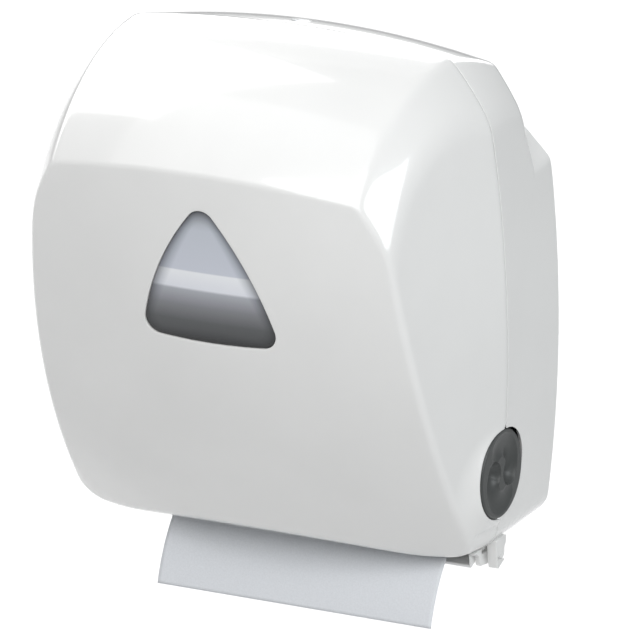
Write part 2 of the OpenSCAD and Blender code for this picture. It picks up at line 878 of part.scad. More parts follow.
module spring_anchor() color(steel) {
    translate([spring_x - anchor_w / 2, -drum_d - anchor_w / 2, anchor_z])
        cube([anchor_w, drum_d + anchor_w / 2 - back_t, anchor_w]);
    foot(spring_x - anchor_w / 2, spring_x + anchor_w / 2, anchor_z - foot_w, anchor_z + foot_w,
        anchor_screws);
}

module hinge_pins() color(steel)
    for (side = [-1, 1])
        along_x(side < 0 ? -hinge_out : hinge_in, side < 0 ? -hinge_in : hinge_out,
            hinge_d, hinge_z, hinge_pin_r);

module chassis_screws() color(steel) {
    head_h = 2;
    bite = 2.2;
    for (p = concat(left_plate_screws, right_plate_screws, left_arm_screws, right_arm_screws,
            anchor_screws))
        translate([p[0], -back_t - foot_t, p[1]])
            rotate([-90, 0, 0])
                screw(head_h, foot_t + bite);
    for (x = chute_screw_x)
        translate([x, -chute_screw_d, bottom_z - chute_t])
            screw(head_h, chute_t + bite);
}

// Paper

// The middle line of the tail, from the drum to its lower edge
function tail_line() =
    let (bend = exit_point + exit_run * exit_dir)
    concat([exit_point],
        [for (i = [0:tail_steps])
            let (s = exit_slope + (tail_end_slope - exit_slope) * i / tail_steps)
            bend - tail_r * [sin(s) - sin(exit_slope), cos(exit_slope) - cos(s)]]);
// A strip of the sheet's thickness along a line of [y, z] points
function strip(line) =
    let (n = len(line),
        normals = [for (i = [0:n - 1])
            let (t = unit(line[min(i + 1, n - 1)] - line[max(i - 1, 0)])) [-t[1], t[0]]])
    concat([for (i = [0:n - 1]) line[i] + normals[i] * sheet_t / 2],
        [for (i = [n - 1:-1:0]) line[i] - normals[i] * sheet_t / 2]);

module towel_tail() color(pale_paper)
    profile_x(paper_left, paper_right)
        polygon(strip(tail_line()));

// The web leaves the back of the roll on the line that is tangent to roll and drum
module paper_web() color(pale_paper) {
    lead = 16;
    roll_c = [-roll_d, roll_z];
    span = [-drum_d, drum_z] - roll_c;
    along = unit(span);
    across = [-along[1], along[0]];
    lean = acos((roll_r + paper_gap - web_r) / norm(span));
    normal = cos(lean) * along + sin(lean) * across;
    top = roll_c + (roll_r + paper_gap) * normal;
    low = [-drum_d, drum_z] + web_r * normal;
    profile_x(paper_left, paper_right)
        polygon(strip([top, low + lead * unit(top - low)]));
}

module plunger_spring() color(steel)
    translate([left_arm_x + hook_gap + plunger_wire_r, -roll_d, roll_z])
        rotate([0, 90, 0])
            swept_tube(plunger_coil, plunger_wire_r);

// Cover

// Each lug slopes up from its eye to the cover's floor, just in front of the parting line
module hinge_lugs() {
    eye_trim = 0.5;
    root_gap = 2;
    root_l = 10;
    eye_r = ear_r - eye_trim;
    root_d = parting_d + root_gap;
    for (x = [-lug_x - lug_w, lug_x]) {
        along_x(x, x + lug_w, hinge_d, hinge_z, eye_r);
        profile_x(x, x + lug_w)
            polygon([[-hinge_d, hinge_z - eye_r], [-hinge_d, hinge_z + eye_r],
                [-root_d, hinge_z + eye_r], [-root_d, corner_z], [-root_d - root_l, corner_z],
                [-root_d - root_l, bottom_z]]);
    }
}

// Three corner circles joined by bowed sides: corner centres, and the side after each
function window_corners() = [[window_half_w, 0], [0, window_h], [-window_half_w, 0]];
function window_sides() = [window_side_r, window_side_r, window_base_r];
// Centre of the bow that touches two corner circles from outside
function bow_centre(p, q, d) =
    let (m = (p + q) / 2, h = norm(q - p) / 2, u = unit(q - p))
    m + sqrt(d * d - h * h) * [-u[1], u[0]];
function window_outline(inset) =
    let (c = window_corners(), r = window_corner_r - inset, s = window_sides(),
        bows = [for (i = [0:2]) bow_centre(c[i], c[(i + 1) % 3], s[i] - window_corner_r)])
    [for (i = [0:2])
        let (before = angle_of(c[i] - bows[(i + 2) % 3]),
            after = angle_of(c[i] - bows[i]),
            turn = turn_between(before, after),
            from = angle_of(c[i] - bows[i]),
            to = angle_of(c[(i + 1) % 3] - bows[i]),
            sweep = turn_between(from, to))
        each concat(arc(c[i][0], c[i][1], r, before, before + turn, outline_steps),
            [for (k = [1:outline_steps - 1])
                let (a = from + sweep * k / outline_steps)
                bows[i] + (s[i] - inset) * [cos(a), sin(a)]])];

module window_column(inset) {
    translate([window_x, -front_d / 2, window_z])
        rotate([90, 0, 0])
            linear_extrude(height = front_d)
                polygon(window_outline(inset));
}

module front_cover() color(white)
    difference() {
        union() {
            intersection() {
                cover_form(0);
                slab(parting_d + part_gap / 2, reach);
            }
            hinge_lugs();
        }
        cover_form(wall);
        window_column(0);
        knob_hole();
        hinge_bores(hinge_pin_r + run_gap);
        translate([opening_left, -rake_d + cut, bottom_z - cut])
            cube([opening_right - opening_left, rake_d - cut, wall + 4 * cut]);
    }

module window_pane() color([0.55, 0.57, 0.6, 0.6])
    difference() {
        union() {
            intersection() {
                window_column(window_gap);
                front_limit(window_recess);
            }
            intersection() {
                window_column(-pane_lap);
                front_limit(wall + seat);
            }
        }
        front_limit(wall + seat + pane_t);
    }

module window_retainer() color(charcoal)
    difference() {
        intersection() {
            window_column(-pane_lap - retainer_lap);
            front_limit(wall + pane_t + 2 * seat);
        }
        front_limit(wall + pane_t + 2 * seat + retainer_t);
        window_column(-retainer_lap);
    }

// A hook under the dome: its root stands on the dome's inside, its lip hangs by the lock
module cover_catch() color(white) {
    root_l = 8;
    front = parting_d + root_l + catch_t;
    low = catch_top - catch_t;
    root_top = top_at(front - root_l, dome_r) - wall - catch_seat;
    translate([-catch_half_w, -front, low])
        cube([2 * catch_half_w, front - catch_back_d, catch_t]);
    translate([-catch_half_w, -catch_back_d - catch_t, low - catch_lip])
        cube([2 * catch_half_w, catch_t, catch_lip + cut]);
    translate([-catch_half_w, -front, low])
        cube([2 * catch_half_w, root_l, root_top - low]);
}

// Lock, stored unlocked with its tongue pointing sideways

module lock_barrel() color(steel) {
    slot_l = 7;
    slot_w = 1.6;
    slot_depth = 3;
    drop = 0.5;
    translate([0, -lock_d, 0])
        difference() {
            union() {
                translate([0, 0, lock_floor - drop])
                    cylinder(r = lock_r, h = lock_top - lock_floor + drop);
                translate([0, 0, tongue_z + tongue_t])
                    cylinder(r = spindle_r, h = lock_floor - tongue_z - tongue_t);
            }
            translate([-slot_l / 2, -slot_w / 2, lock_top - slot_depth])
                cube([slot_l, slot_w, slot_depth + cut]);
        }
}

// The tongue's tip turns up in front of the catch's lip when it is locked
module lock_tongue() color(steel) {
    eye_w = 2;
    tip_gap = 0.4;
    tip_l = tongue_reach - norm([catch_back_d + catch_t - lock_d, catch_half_w]) - tip_gap;
    translate([0, -lock_d, tongue_z]) {
        cylinder(r = spindle_r + eye_w, h = tongue_t);
        translate([0, -catch_half_w, 0])
            cube([tongue_reach, 2 * catch_half_w, tongue_t]);
        translate([tongue_reach - tip_l, -catch_half_w, 0])
            cube([tip_l, 2 * catch_half_w, tongue_t + tongue_gap + catch_lip / 2]);
    }
}

// Drum

module blade_slot() {
    slot_low = -21;
    slot_high = 5;
    inner = 25;
    in_drum()
        translate([drum_left + rim_w, inner, slot_low])
            cube([drum_right - drum_left - 2 * rim_w, drum_r, slot_high - slot_low]);
}

function band_x(i) =
    let (free = drum_right - drum_left - 2 * rim_w)
    drum_left + rim_w + free * (i + 0.5) / band_count - band_w / 2;

module drum_shell() color(white)
    difference() {
        tube_x(drum_left, drum_right, drum_d, drum_z, drum_r, drum_in_r);
        blade_slot();
        for (i = [0:band_count - 1])
            tube_x(band_x(i), band_x(i) + band_w, drum_d, drum_z, drum_r + cut, drum_r - band_groove);
    }

module grip_bands() color(rubber)
    difference() {
        for (i = [0:band_count - 1])
            tube_x(band_x(i) + seat, band_x(i) + band_w - seat, drum_d, drum_z,
                grip_r, drum_r - band_groove + seat);
        blade_slot();
    }

module drum_end(x0, x1) {
    difference() {
        along_x(x0, x1, drum_d, drum_z, drum_in_r - seat);
        along_x(x0 - cut, x1 + cut, drum_d, drum_z, shaft_r + seat / 2);
        in_drum()
            local_x(x0 - cut, x1 + cut, pivot_a, pivot_b, pivot_r + run_gap);
    }
}

module drum_left_end() color(white)
    drum_end(drum_left, drum_left + drum_end_t);

module drum_right_end() color(white)
    drum_end(drum_right - drum_end_t, drum_right);

module drum_shaft() color(steel)
    along_x(crank_x - crank_t, knob_back + shaft_bite, drum_d, drum_z, shaft_r);

module crank_arm() color(steel) {
    eye_wall = 3.5;
    web_wall = 2;
    web_half = crank_pin_r + web_wall;
    pin_z = drum_z + crank_throw;
    difference() {
        union() {
            along_x(crank_x - crank_t, crank_x, drum_d, drum_z, shaft_r + hub_wall);
            along_x(crank_x - crank_t, crank_x, drum_d, pin_z, crank_pin_r + eye_wall);
            translate([crank_x - crank_t, -drum_d - web_half, drum_z])
                cube([crank_t, 2 * web_half, crank_throw]);
        }
        along_x(crank_x - crank_t - cut, crank_x + cut, drum_d, drum_z, shaft_r + seat / 2);
        along_x(crank_x - crank_t - cut, crank_x + cut, drum_d, pin_z, crank_pin_r + seat / 2);
    }
}

module crank_pin() color(steel)
    along_x(crank_pin_end, crank_x, drum_d, drum_z + crank_throw, crank_pin_r);

module feed_knob() color(charcoal) {
    hub_l = 7;
    edge = 2;
    dimple_r = 17;
    dimple_depth = 4;
    dimple_out = 15;
    dimple_turn = 37;
    translate([0, -drum_d, drum_z])
        rotate([0, 90, 0])
            difference() {
                union() {
                    rotate_extrude()
                        polygon([[0, knob_back], [knob_r, knob_back], [knob_r, knob_face - edge],
                            [knob_r - edge, knob_face], [0, knob_face]]);
                    translate([0, 0, knob_back - hub_l])
                        cylinder(r = shaft_r + hub_wall, h = hub_l + cut);
                }
                translate([0, 0, knob_back - hub_l - cut])
                    cylinder(r = shaft_r + seat / 2, h = hub_l + cut + shaft_bite + seat);
                for (turn = [0, 180])
                    rotate([0, 0, dimple_turn + turn])
                        translate([dimple_out, 0, knob_face + dimple_r - dimple_depth])
                            sphere(r = dimple_r);
            }
}

// Cutter

module blade_carrier() color(nylon) {
    gap = 1;
    x0 = drum_left + drum_end_t + gap;
    x1 = drum_right - drum_end_t - gap;
    boss_t = 1.5;
    lever_gap = 0.75;
    lever_x = cam_x + lever_gap;
    lever_t = cam_gap - 2 * lever_gap;
    in_drum() {
        local_x(lever_x, drum_right - gap, pivot_a, pivot_b, pivot_r);
        local_x(x0, x1, pivot_a, pivot_b, pivot_r + boss_t);
        local_x(lever_x, lever_x + lever_t, pivot_a, pivot_b, pivot_r + boss_t);
        local_x(lever_x, lever_x + lever_t, roller_p[0], roller_p[1], roller_pin_r + boss_t);
        translate([lever_x, pivot_a, pivot_b])
            rotate([angle_of(roller_arm), 0, 0])
                translate([0, 0, -roller_pin_r])
                    cube([lever_t, norm(roller_arm), 2 * roller_pin_r]);
        local_x(left_plate_x + roller_side_gap, lever_x + cut, roller_p[0], roller_p[1],
            roller_pin_r);
    }
    in_cutter()
        translate([x0, 0, -carrier_t])
            cube([x1 - x0, carrier_l, carrier_t]);
}

module cutter_blade() color(steel) {
    gap = 3;
    root_gap = 4;
    x0 = drum_left + drum_end_t + gap;
    count = floor((drum_right - drum_left - 2 * drum_end_t - 2 * gap) / tooth_pitch);
    root = pivot_r + root_gap;
    in_cutter()
        translate([0, 0, seat])
            linear_extrude(height = blade_t)
                polygon(concat([[x0, root]],
                    [for (i = [0:count - 1]) each [[x0 + i * tooth_pitch, cutter_l - tooth_h],
                        [x0 + (i + 0.5) * tooth_pitch, cutter_l]]],
                    [[x0 + count * tooth_pitch, cutter_l - tooth_h],
                        [x0 + count * tooth_pitch, root]]));
}

module cam_roller() color(nylon)
    in_drum()
        difference() {
            local_x(left_plate_x + roller_side_gap, cam_x - roller_side_gap, roller_p[0],
                roller_p[1], cam_roller_r);
            local_x(left_plate_x, cam_x, roller_p[0], roller_p[1], roller_pin_r + seat);
        }

// Pinch roller

module pinch_shaft() color(steel)
    along_x(left_plate_x - plate_t, right_plate_x + plate_t, pinch_d, drum_z, pinch_shaft_r);

module pinch_sleeves() color(rubber) {
    lap = 2;
    for (i = [0:band_count - 1])
        tube_x(band_x(i) - lap, band_x(i) + band_w + lap, pinch_d, drum_z, pinch_r,
            pinch_shaft_r + seat / 2);
}

// Roll

module paper_roll() color(pale_paper)
    tube_x(paper_left, paper_right, roll_d, roll_z, roll_r, core_r + core_t + seat);

module roll_core() color([0.72, 0.62, 0.48])
    tube_x(paper_left, paper_right, roll_d, roll_z, core_r + core_t, core_r);

module roll_plunger() color(white) {
    along_x(head_back, paper_left + hub_reach, roll_d, roll_z, core_r - hub_gap);
    along_x(plunger_end, head_back + cut, roll_d, roll_z, plunger_r);
}

module plunger_knob() color(charcoal) {
    grip_l = 5;
    grip_rim = 4;
    along_x(plunger_end - grip_l, plunger_end, roll_d, roll_z, plunger_r + grip_rim);
}

rear_case();
exit_chute();
left_side_plate();
right_side_plate();
tie_rods();
paper_guide();
left_roll_arm();
right_roll_arm();
drum_bushes();
pinch_bushes();
cam_plate();
return_spring();
spring_anchor();
hinge_pins();
chassis_screws();
towel_tail();
paper_web();
plunger_spring();
front_cover();
window_pane();
window_retainer();
cover_catch();
lock_barrel();
lock_tongue();
drum_shell();
drum_left_end();
drum_right_end();
drum_shaft();
grip_bands();
crank_arm();
crank_pin();
feed_knob();
blade_carrier();
cutter_blade();
cam_roller();
pinch_shaft();
pinch_sleeves();
paper_roll();
roll_core();
roll_plunger();
plunger_knob();
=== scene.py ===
"""Looks of a wall-hung autocut towel dispenser, dressed over its construction.

Shapes are worked out in millimetres, in the frame of the construction: +Z is up,
the wall face is Y = 0 and the front looks along -Y. Meshes are made in metres.
"""

import json
import math

import bmesh
import bpy
import numpy as np
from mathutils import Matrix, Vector


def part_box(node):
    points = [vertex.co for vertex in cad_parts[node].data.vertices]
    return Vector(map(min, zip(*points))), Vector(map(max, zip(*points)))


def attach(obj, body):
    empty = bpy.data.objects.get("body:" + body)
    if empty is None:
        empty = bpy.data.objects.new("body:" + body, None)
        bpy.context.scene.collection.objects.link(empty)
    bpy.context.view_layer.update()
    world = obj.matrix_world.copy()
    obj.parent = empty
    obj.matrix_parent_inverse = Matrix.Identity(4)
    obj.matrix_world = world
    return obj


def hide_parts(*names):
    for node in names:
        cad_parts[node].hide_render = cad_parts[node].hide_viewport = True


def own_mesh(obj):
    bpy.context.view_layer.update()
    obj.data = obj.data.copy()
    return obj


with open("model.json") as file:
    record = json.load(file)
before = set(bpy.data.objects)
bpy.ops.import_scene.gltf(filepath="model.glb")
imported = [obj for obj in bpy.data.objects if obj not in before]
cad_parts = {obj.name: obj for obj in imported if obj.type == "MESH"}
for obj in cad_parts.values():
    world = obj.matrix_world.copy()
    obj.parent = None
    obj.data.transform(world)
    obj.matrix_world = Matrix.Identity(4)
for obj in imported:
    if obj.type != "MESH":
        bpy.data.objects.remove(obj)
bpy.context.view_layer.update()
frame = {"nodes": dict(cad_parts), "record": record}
MM = 0.001

# Outer form: the same surfaces as the solids
CASE_HALF_W = 160.9
CASE_TOP = 179.0
BOTTOM_Z = -172.0
PARTING_Y = -84.0
PART_GAP = 0.6
WALL = 2.5
BACK_T = 3.0
CORNER_R = 20.0
FLANGE_Y = -28.0
FLANGE_TOP = 124.0
FLANGE_FLAT = 110.0
FRONT_R = 476.5
FRONT_Y = -227.3
FRONT_Z = 113.9
DOME_R = 152.4
DOME_SWEEP = 217.2
DOME_TILT = math.radians(20.5)
DOME_Y = -101.3
ARCH_R = 640.0
CROWN_R = 190.0
SIDE_R = 1026.6
SIDE_Z = -35.6
COVER_DRAFT = math.radians(10.6)
CASE_DRAFT = math.radians(-1.4)
BAND_R = 235.1
BAND_IN = 217.8
BAND_Y = -77.5
BAND_DROP = 166.8
RAKE_Y = -114.0
RAKE = math.radians(24)
# How softly the surfaces run into each other
CREASE = 1.6
EDGE = 4.2
BAND_EDGE = 2.4
LIP_EDGE = 1.6
FLANGE_EDGE = 2.0
STEP_EDGE_R = 8.0
RIM_R = 0.3
# Share of a rim's radius at the middle of its bend
RIM_BEND = 0.3

# Window
WINDOW_X = 3.5
WINDOW_Z = 3.5
WINDOW_HALF_W = 37.5
WINDOW_H = 73.3
WINDOW_CORNER_R = 10.8
WINDOW_SIDE_R = 205.0
WINDOW_BASE_R = 520.0
WINDOW_ARC_STEPS = 60
WINDOW_RECESS = 1.2
WINDOW_GAP = 0.3
PANE_T = 1.5
PANE_LAP = 5.0
PANE_SEAT = WALL + 0.05
PANE_BACK = PANE_SEAT + PANE_T
# Shares of the outline at which the pane's rings start and grow finer, and their counts
PANE_CORE = 0.12
PANE_BELT = 0.7
PANE_RINGS = (16, 14, 12)

# Drum and feed knob
DRUM_Y = -85.0
DRUM_Z = -114.7
SHAFT_R = 5.0
SHAFT_GAP = 0.05
KNOB_R = 31.0
KNOB_GAP = 0.8
KNOB_T = 10.5
KNOB_FACE = CASE_HALF_W - 3.2
KNOB_EDGE_R = 1.6
KNOB_HUB_L = 7.0
KNOB_HUB_WALL = 4.0
KNOB_MIDDLE_R = 0.6
# Points around the knob, rings across its face and steps over its edge
KNOB_AROUND = 180
KNOB_RINGS = 72
KNOB_EDGE_STEPS = 6
# The knob's comma-shaped recesses, with their widths and depths at head and tail
RECESS_MIDDLE = (0.0, 6.0)
RECESS_R = 14.0
RECESS_HEAD = math.radians(-32)
RECESS_TAIL = math.radians(128)
RECESS_WIDTH = (10.0, 7.2)
RECESS_DEPTH = (6.6, 1.2)
RECESS_FULLNESS = 0.7
# The shallow cone in which the cover's side rises to the knob
FLARE_R = 33.0
FLARE_SLOPE = 0.7
FLARE_SINK = 1.0
FLARE_EDGE = 4.0

# Hinge
HINGE_Y = -62.0
HINGE_Z = -180.0
HINGE_PIN_R = 2.5
PIN_EASE = 0.5
PIN_MIDDLE_R = 0.2
PIN_INSET = 0.4
PIN_LEFT_INSET = 0.5
PIN_IN_OUTER_EAR = 1.5
PIN_STEPS = 32
EAR_R = 6.0
EAR_X = (131.1, 137.1)
EAR_TOP = BOTTOM_Z + 4.0
EAR_GAP = 0.05
EAR_RIM_R = 0.6
EAR_STEPS = 24
OUTER_EAR_X = (145.3, 147.0)
OUTER_EAR_R = 4.0
# Outline, as (y, z), of the hooked block in front of the right outer ear
BLOCK_X = (145.3, 152.4)
BLOCK_OUTLINE = [(-83.3, -164.5), (-66.7, -164.5), (-66.7, -168.7), (-72.2, -176.6), (-79.5, -176.8),
                 (-79.5, -178.6), (-70.4, -180.2), (-69.8, -181.4), (-78.8, -185.2), (-79.8, -184.6)]
LUG_X = 139.5
LUG_W = 3.5
LUG_EYE_R = EAR_R - 0.5
LUG_EYE_TOP = math.radians(90)
LUG_EYE_END = math.radians(-100)
LUG_EYE_STEPS = 22
LUG_HOLLOW_STEPS = 8
LUG_GAP = 0.1
LUG_BACK = PARTING_Y - 1.0
LUG_FRONT = PARTING_Y - 4.0
LUG_ROOT = LUG_FRONT - 9.0
LUG_TOP = BOTTOM_Z + 1.5
LUG_CHAMFER = (2.0, 1.5)
# Depth of each lug below the case, and radius of the hollow at its front
RIGHT_LUG = (10.5, 7.0)
LEFT_LUG = (6.5, 3.0)

# Plates' rims: radius, steps, the bend that makes an edge a rim, and the bend still taken as flat
PLATE_RIM_R = 0.4
RIM_STEPS = 3
RIM_BEND_FROM = math.radians(50)
FLAT_BEND = 0.01

# Lock
LOCK_Y = -70.0
LOCK_HOLE_R = 7.05
LOCK_RING_STEPS = 64
# Radii within which the case's faces give way to the lock's ring
LOCK_SKIN_R = 9.3
LOCK_LINING_R = 10.2
# Lock ring as radius and height over the case's top, from inside to outside
LOCK_RING = [(13.8, -WALL - 0.25), (LOCK_HOLE_R, -WALL - 0.25), (LOCK_HOLE_R, -0.15), (7.2, 0.03),
             (7.6, 0.05), (11.0, 0.05), (11.5, 0.03), (11.8, -0.3)]

# Way out of the towel
OPENING_X = (-95.0, 138.5)
OPENING_Y = -103.0
OPENING_TOP = -166.5
CHUTE_LEFT = -81.0
CHUTE_RIGHT = 137.5
CHUTE_RIGHT_BEHIND = 129.1
CHUTE_T = 2.5
CHUTE_FOLD = PARTING_Y + 1.0
CHUTE_SPLIT = -70.0
CHUTE_LAP = 0.2
CHUTE_BACK = -48.0
CHUTE_END_T = 0.8
CHUTE_END_RIM_R = 0.2
# Sections of the chute's lip and end plate, as (y, z) from its fold at the case's bottom
LIP_SECTION = [(3.0, 0.0), (-1.0, -5.0), (-7.0, -8.4), (-9.0, -8.4), (-9.8, -8.8), (-9.6, -10.2),
               (-8.6, -10.8), (-3.0, -9.4), (1.0, -CHUTE_T - 0.4)]
END_SECTION = [(2.0, -1.0), (2.0, 4.0), (-12.0, 4.0), (-9.9, -9.0), (-8.8, -10.7), (-2.0, -8.0)]

# Paper
PAPER_X = (-83.0, 123.0)
SHEET_T = 0.3
SHEET_COLUMNS = 72
EXIT_POINT = (-60.64, -143.74)
EXIT_SLOPE = math.radians(40)
EXIT_RUN = 38.0
TAIL_R = 100.0
TAIL_END_SLOPE = math.radians(75)
# Rows of the tail's straight run and of its arc
TAIL_ROWS = (16, 28)
WEB_ROWS = 24
ROLL_Y = -112.0
ROLL_Z = 48.0
ROLL_R = 80.0
CORE_R = 21.0
CORE_GAP = 0.3
# The roll's ends: how many turns show, and how far they stand in by turns and in waves
ROLL_TURNS = 40
ROLL_END_INSET = 0.3
TURN_INSET = 0.35
WAVE_INSET = 0.25
WAVE = 1.7
# The roll's soft edge, as distance in from its end and below its surface
ROLL_EDGE_FOOT = 1.2
ROLL_EDGE = [(0.8, 0.3), (2.0, 0.0)]
ROLL_STEPS = 160

# Springs
WIRE_SIDES = 10
COIL_STEPS = 20
# A direction that no wire starts along
ASKEW = (0.3, 0.5, 0.8)
RETURN_WIRE_R = 0.9
RETURN_TURNS = 18
RETURN_STUB = 4.0
PLUNGER_WIRE_R = 0.8
PLUNGER_TURNS = 4

# Wall screws
SCREW_SPAN_X = 140.0
SCREW_SPAN_Z = 200.0
SCREW_HOLE_R = 2.75
HOLE_STEPS = 24

# Where the shells' grids are centred, and how fine they are
CENTRE = np.array([WINDOW_X, -78.0, 27.0])
AROUND = 380
FINE_AROUND = 4000
KNOB_LINES = 33
LINE_GAP = 0.004
OPENING_STRIP = 0.15
# Rings in front of the notches and beside them, outside and inside the cover
OUTWARD = (96, 14)
INSIDE = (34, 8)
# Rings of the case up to its step, outside and inside, then behind the step and round its edge
CASE_LEVELS = (24, 10)
FLANGE_LEVELS = 8
STEP_TURNS = 7
# Where the rings beside the notches start, and how finely the lines are searched
LAST_Y = -119.0
FAR_TURN = math.radians(100)
DENSE = 400
BEND_WEIGHT = 25.0
REACH = 420.0
BISECTIONS = 36
NORMAL_STEP = 0.05
MERGE = 2e-7


# Outer surfaces as signed distances, negative inside

def soft_max(a, b, width):
    """The larger of two distances, rounded where they meet."""
    near = np.maximum(width - np.abs(a - b), 0) / width
    return np.maximum(a, b) + near * near * width / 4


def front_limit(p, inset):
    """The bowed front face, part of a ball."""
    centre = np.array([0, FRONT_Y + FRONT_R, FRONT_Z])
    return np.linalg.norm(p - centre, axis=-1) - (FRONT_R - inset)


def dome_limit(p, inset):
    """The domed top of the cover, a tilted ring."""
    cos, sin = math.cos(DOME_TILT), math.sin(DOME_TILT)
    x = p[..., 0]
    y = p[..., 1] - (DOME_Y + DOME_SWEEP * cos)
    z = p[..., 2] - (CASE_TOP - DOME_R - DOME_SWEEP * sin)
    out = np.hypot(x, y * cos - z * sin) - DOME_SWEEP
    up = y * sin + z * cos
    return np.where(up > 0, np.hypot(out, up), np.maximum(out, 0)) - (DOME_R - inset)


def arch_limit(p, inset):
    """The rear case's top, turned about a level axis far below it."""
    out = np.hypot(p[..., 0], p[..., 2] - (CASE_TOP - ARCH_R)) - (ARCH_R - CROWN_R)
    return np.hypot(np.maximum(out, 0), p[..., 1] - DOME_Y) - (CROWN_R - inset)


def drafted(p, draft):
    """Distance out from the middle, square to the drafted side."""
    x = np.abs(p[..., 0])
    y = p[..., 1] - PARTING_Y
    return x * math.cos(draft) - y * math.sin(draft)


def side_limit(p, inset, draft):
    """A side wall, bowed from top to bottom and drafted from back to front."""
    out = drafted(p, draft) - (CASE_HALF_W * math.cos(draft) - SIDE_R)
    return np.hypot(out, p[..., 2] - SIDE_Z) - (SIDE_R - inset)


def corner_limit(p, inset, draft):
    """The rounded lower corner and the bottom beside it."""
    corner_z = BOTTOM_Z + CORNER_R
    drop = SIDE_R - math.sqrt(SIDE_R ** 2 - (corner_z - SIDE_Z) ** 2)
    corner_x = CASE_HALF_W * math.cos(draft) - drop - CORNER_R
    below = corner_z - p[..., 2]
    past = np.maximum(drafted(p, draft) - corner_x, 0)
    return np.where(below > 0, np.hypot(past, below), 0) - (CORNER_R - inset)


def flare_limit(p, inset):
    """A shallow cone on the cover's right side that rises to the feed knob."""
    out = np.hypot(p[..., 1] - DRUM_Y, p[..., 2] - DRUM_Z) - FLARE_R
    cone = p[..., 0] - (KNOB_FACE - FLARE_SINK) + FLARE_SLOPE * np.maximum(out, 0)
    return np.where(p[..., 0] > 0, cone / math.hypot(1, FLARE_SLOPE) + inset, REACH)


def band_limit(p, inset):
    """The shoulder bands between the top and the sides."""
    x = np.abs(p[..., 0]) - (CASE_HALF_W - BAND_IN)
    y = p[..., 1] - BAND_Y
    z = np.maximum(p[..., 2] - (CASE_TOP - BAND_DROP), 0)
    return np.sqrt(x * x + y * y + z * z) - (BAND_R - inset)


def rake_limit(p, inset):
    """The raked lower edge of the cover's front."""
    return inset - (p[..., 1] - RAKE_Y) * math.sin(RAKE) - (p[..., 2] - BOTTOM_Z) * math.cos(RAKE)


def cover_form(p, inset):
    """The front cover, that much inside its surface."""
    d = soft_max(front_limit(p, inset), dome_limit(p, inset), CREASE)
    d = soft_max(d, band_limit(p, inset), BAND_EDGE)
    side = -soft_max(-side_limit(p, inset, COVER_DRAFT), -flare_limit(p, inset), FLARE_EDGE)
    d = soft_max(d, np.maximum(side, corner_limit(p, inset, COVER_DRAFT)), EDGE)
    return soft_max(d, rake_limit(p, inset), LIP_EDGE)


def case_form(p, inset):
    """The rear case above its flange, that much inside its surface."""
    d = soft_max(arch_limit(p, inset), band_limit(p, inset), BAND_EDGE)
    side = np.maximum(side_limit(p, inset, CASE_DRAFT), corner_limit(p, inset, CASE_DRAFT))
    return soft_max(d, side, EDGE)


def flange_limit(p, inset):
    """The lower back of the case, with its chamfered upper corners."""
    x = np.abs(p[..., 0])
    chamfer = (x - FLANGE_FLAT + p[..., 2] - FLANGE_TOP) * math.sqrt(0.5)
    return soft_max(p[..., 2] - FLANGE_TOP, chamfer, FLANGE_EDGE) + inset


def flange_form(p, inset):
    """The rear case at the wall."""
    return soft_max(case_form(p, inset), flange_limit(p, inset), FLANGE_EDGE)


def cast(form, start, way, inset):
    """Where rays from inside the form leave it."""
    low = np.zeros(way.shape[:-1])
    high = np.full(way.shape[:-1], REACH)
    for _ in range(BISECTIONS):
        mid = (low + high) / 2
        inside = form(start + mid[..., None] * way, inset) < 0
        low = np.where(inside, mid, low)
        high = np.where(inside, high, mid)
    return start + low[..., None] * way


def normals(form, p, inset):
    """Directions straight out of the form."""
    steps = NORMAL_STEP * np.eye(3)
    slope = [form(p + step, inset) - form(p - step, inset) for step in steps]
    n = np.stack(slope, axis=-1)
    return n / np.linalg.norm(n, axis=-1, keepdims=True)


# Meshes

def mesh_piece(name, points, faces, body, slot, sharp=40):
    """A piece on a body from points in millimetres, smooth up to an angle, in its slot's material."""
    mesh = bpy.data.meshes.new(name)
    mesh.from_pydata((np.asarray(points, float) * MM).tolist(), [], faces)
    work = bmesh.new()
    work.from_mesh(mesh)
    bmesh.ops.remove_doubles(work, verts=work.verts, dist=MERGE)
    bmesh.ops.dissolve_degenerate(work, edges=work.edges, dist=MERGE)
    bmesh.ops.recalc_face_normals(work, faces=work.faces)
    work.to_mesh(mesh)
    work.free()
    mesh.materials.append(MATERIALS[slot])
    mesh.shade_smooth()
    mesh.set_sharp_from_angle(angle=math.radians(sharp))
    obj = bpy.data.objects.new(name, mesh)
    bpy.context.scene.collection.objects.link(obj)
    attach(obj, body)
    return obj


def ring_faces(rings, around, closed_rings=False):
    """Quads between rings of points, each ring closed on itself."""
    faces = []
    for i in range(rings if closed_rings else rings - 1):
        a = i * around
        b = (i + 1) % rings * around
        for k in range(around):
            n = (k + 1) % around
            faces.append((a + k, a + n, b + n, b + k))
    return faces


def merged(parts):
    """Several (points, faces) lists as one."""
    points, faces = [], []
    for some_points, some_faces in parts:
        base = len(points)
        points += [tuple(p) for p in some_points]
        faces += [tuple(base + i for i in f) for f in some_faces]
    return points, faces


def end_faces(rings, around):
    """Flat faces over the first and the last ring."""
    return [tuple(range(around)), tuple(range((rings - 1) * around, rings * around))]


def circle_points(x, y, r, steps):
    """Points of a circle in whatever two directions are at hand."""
    turns = [math.tau * i / steps for i in range(steps)]
    return [(x + r * math.cos(a), y + r * math.sin(a)) for a in turns]


def filled(loops, normal):
    """A new mesh with the space between closed loops of points filled."""
    work = bmesh.new()
    for loop in loops:
        verts = [work.verts.new(p) for p in loop]
        for a, b in zip(verts, verts[1:] + verts[:1]):
            work.edges.new((a, b))
    bmesh.ops.triangle_fill(work, edges=work.edges[:], use_beauty=True, normal=normal)
    return work


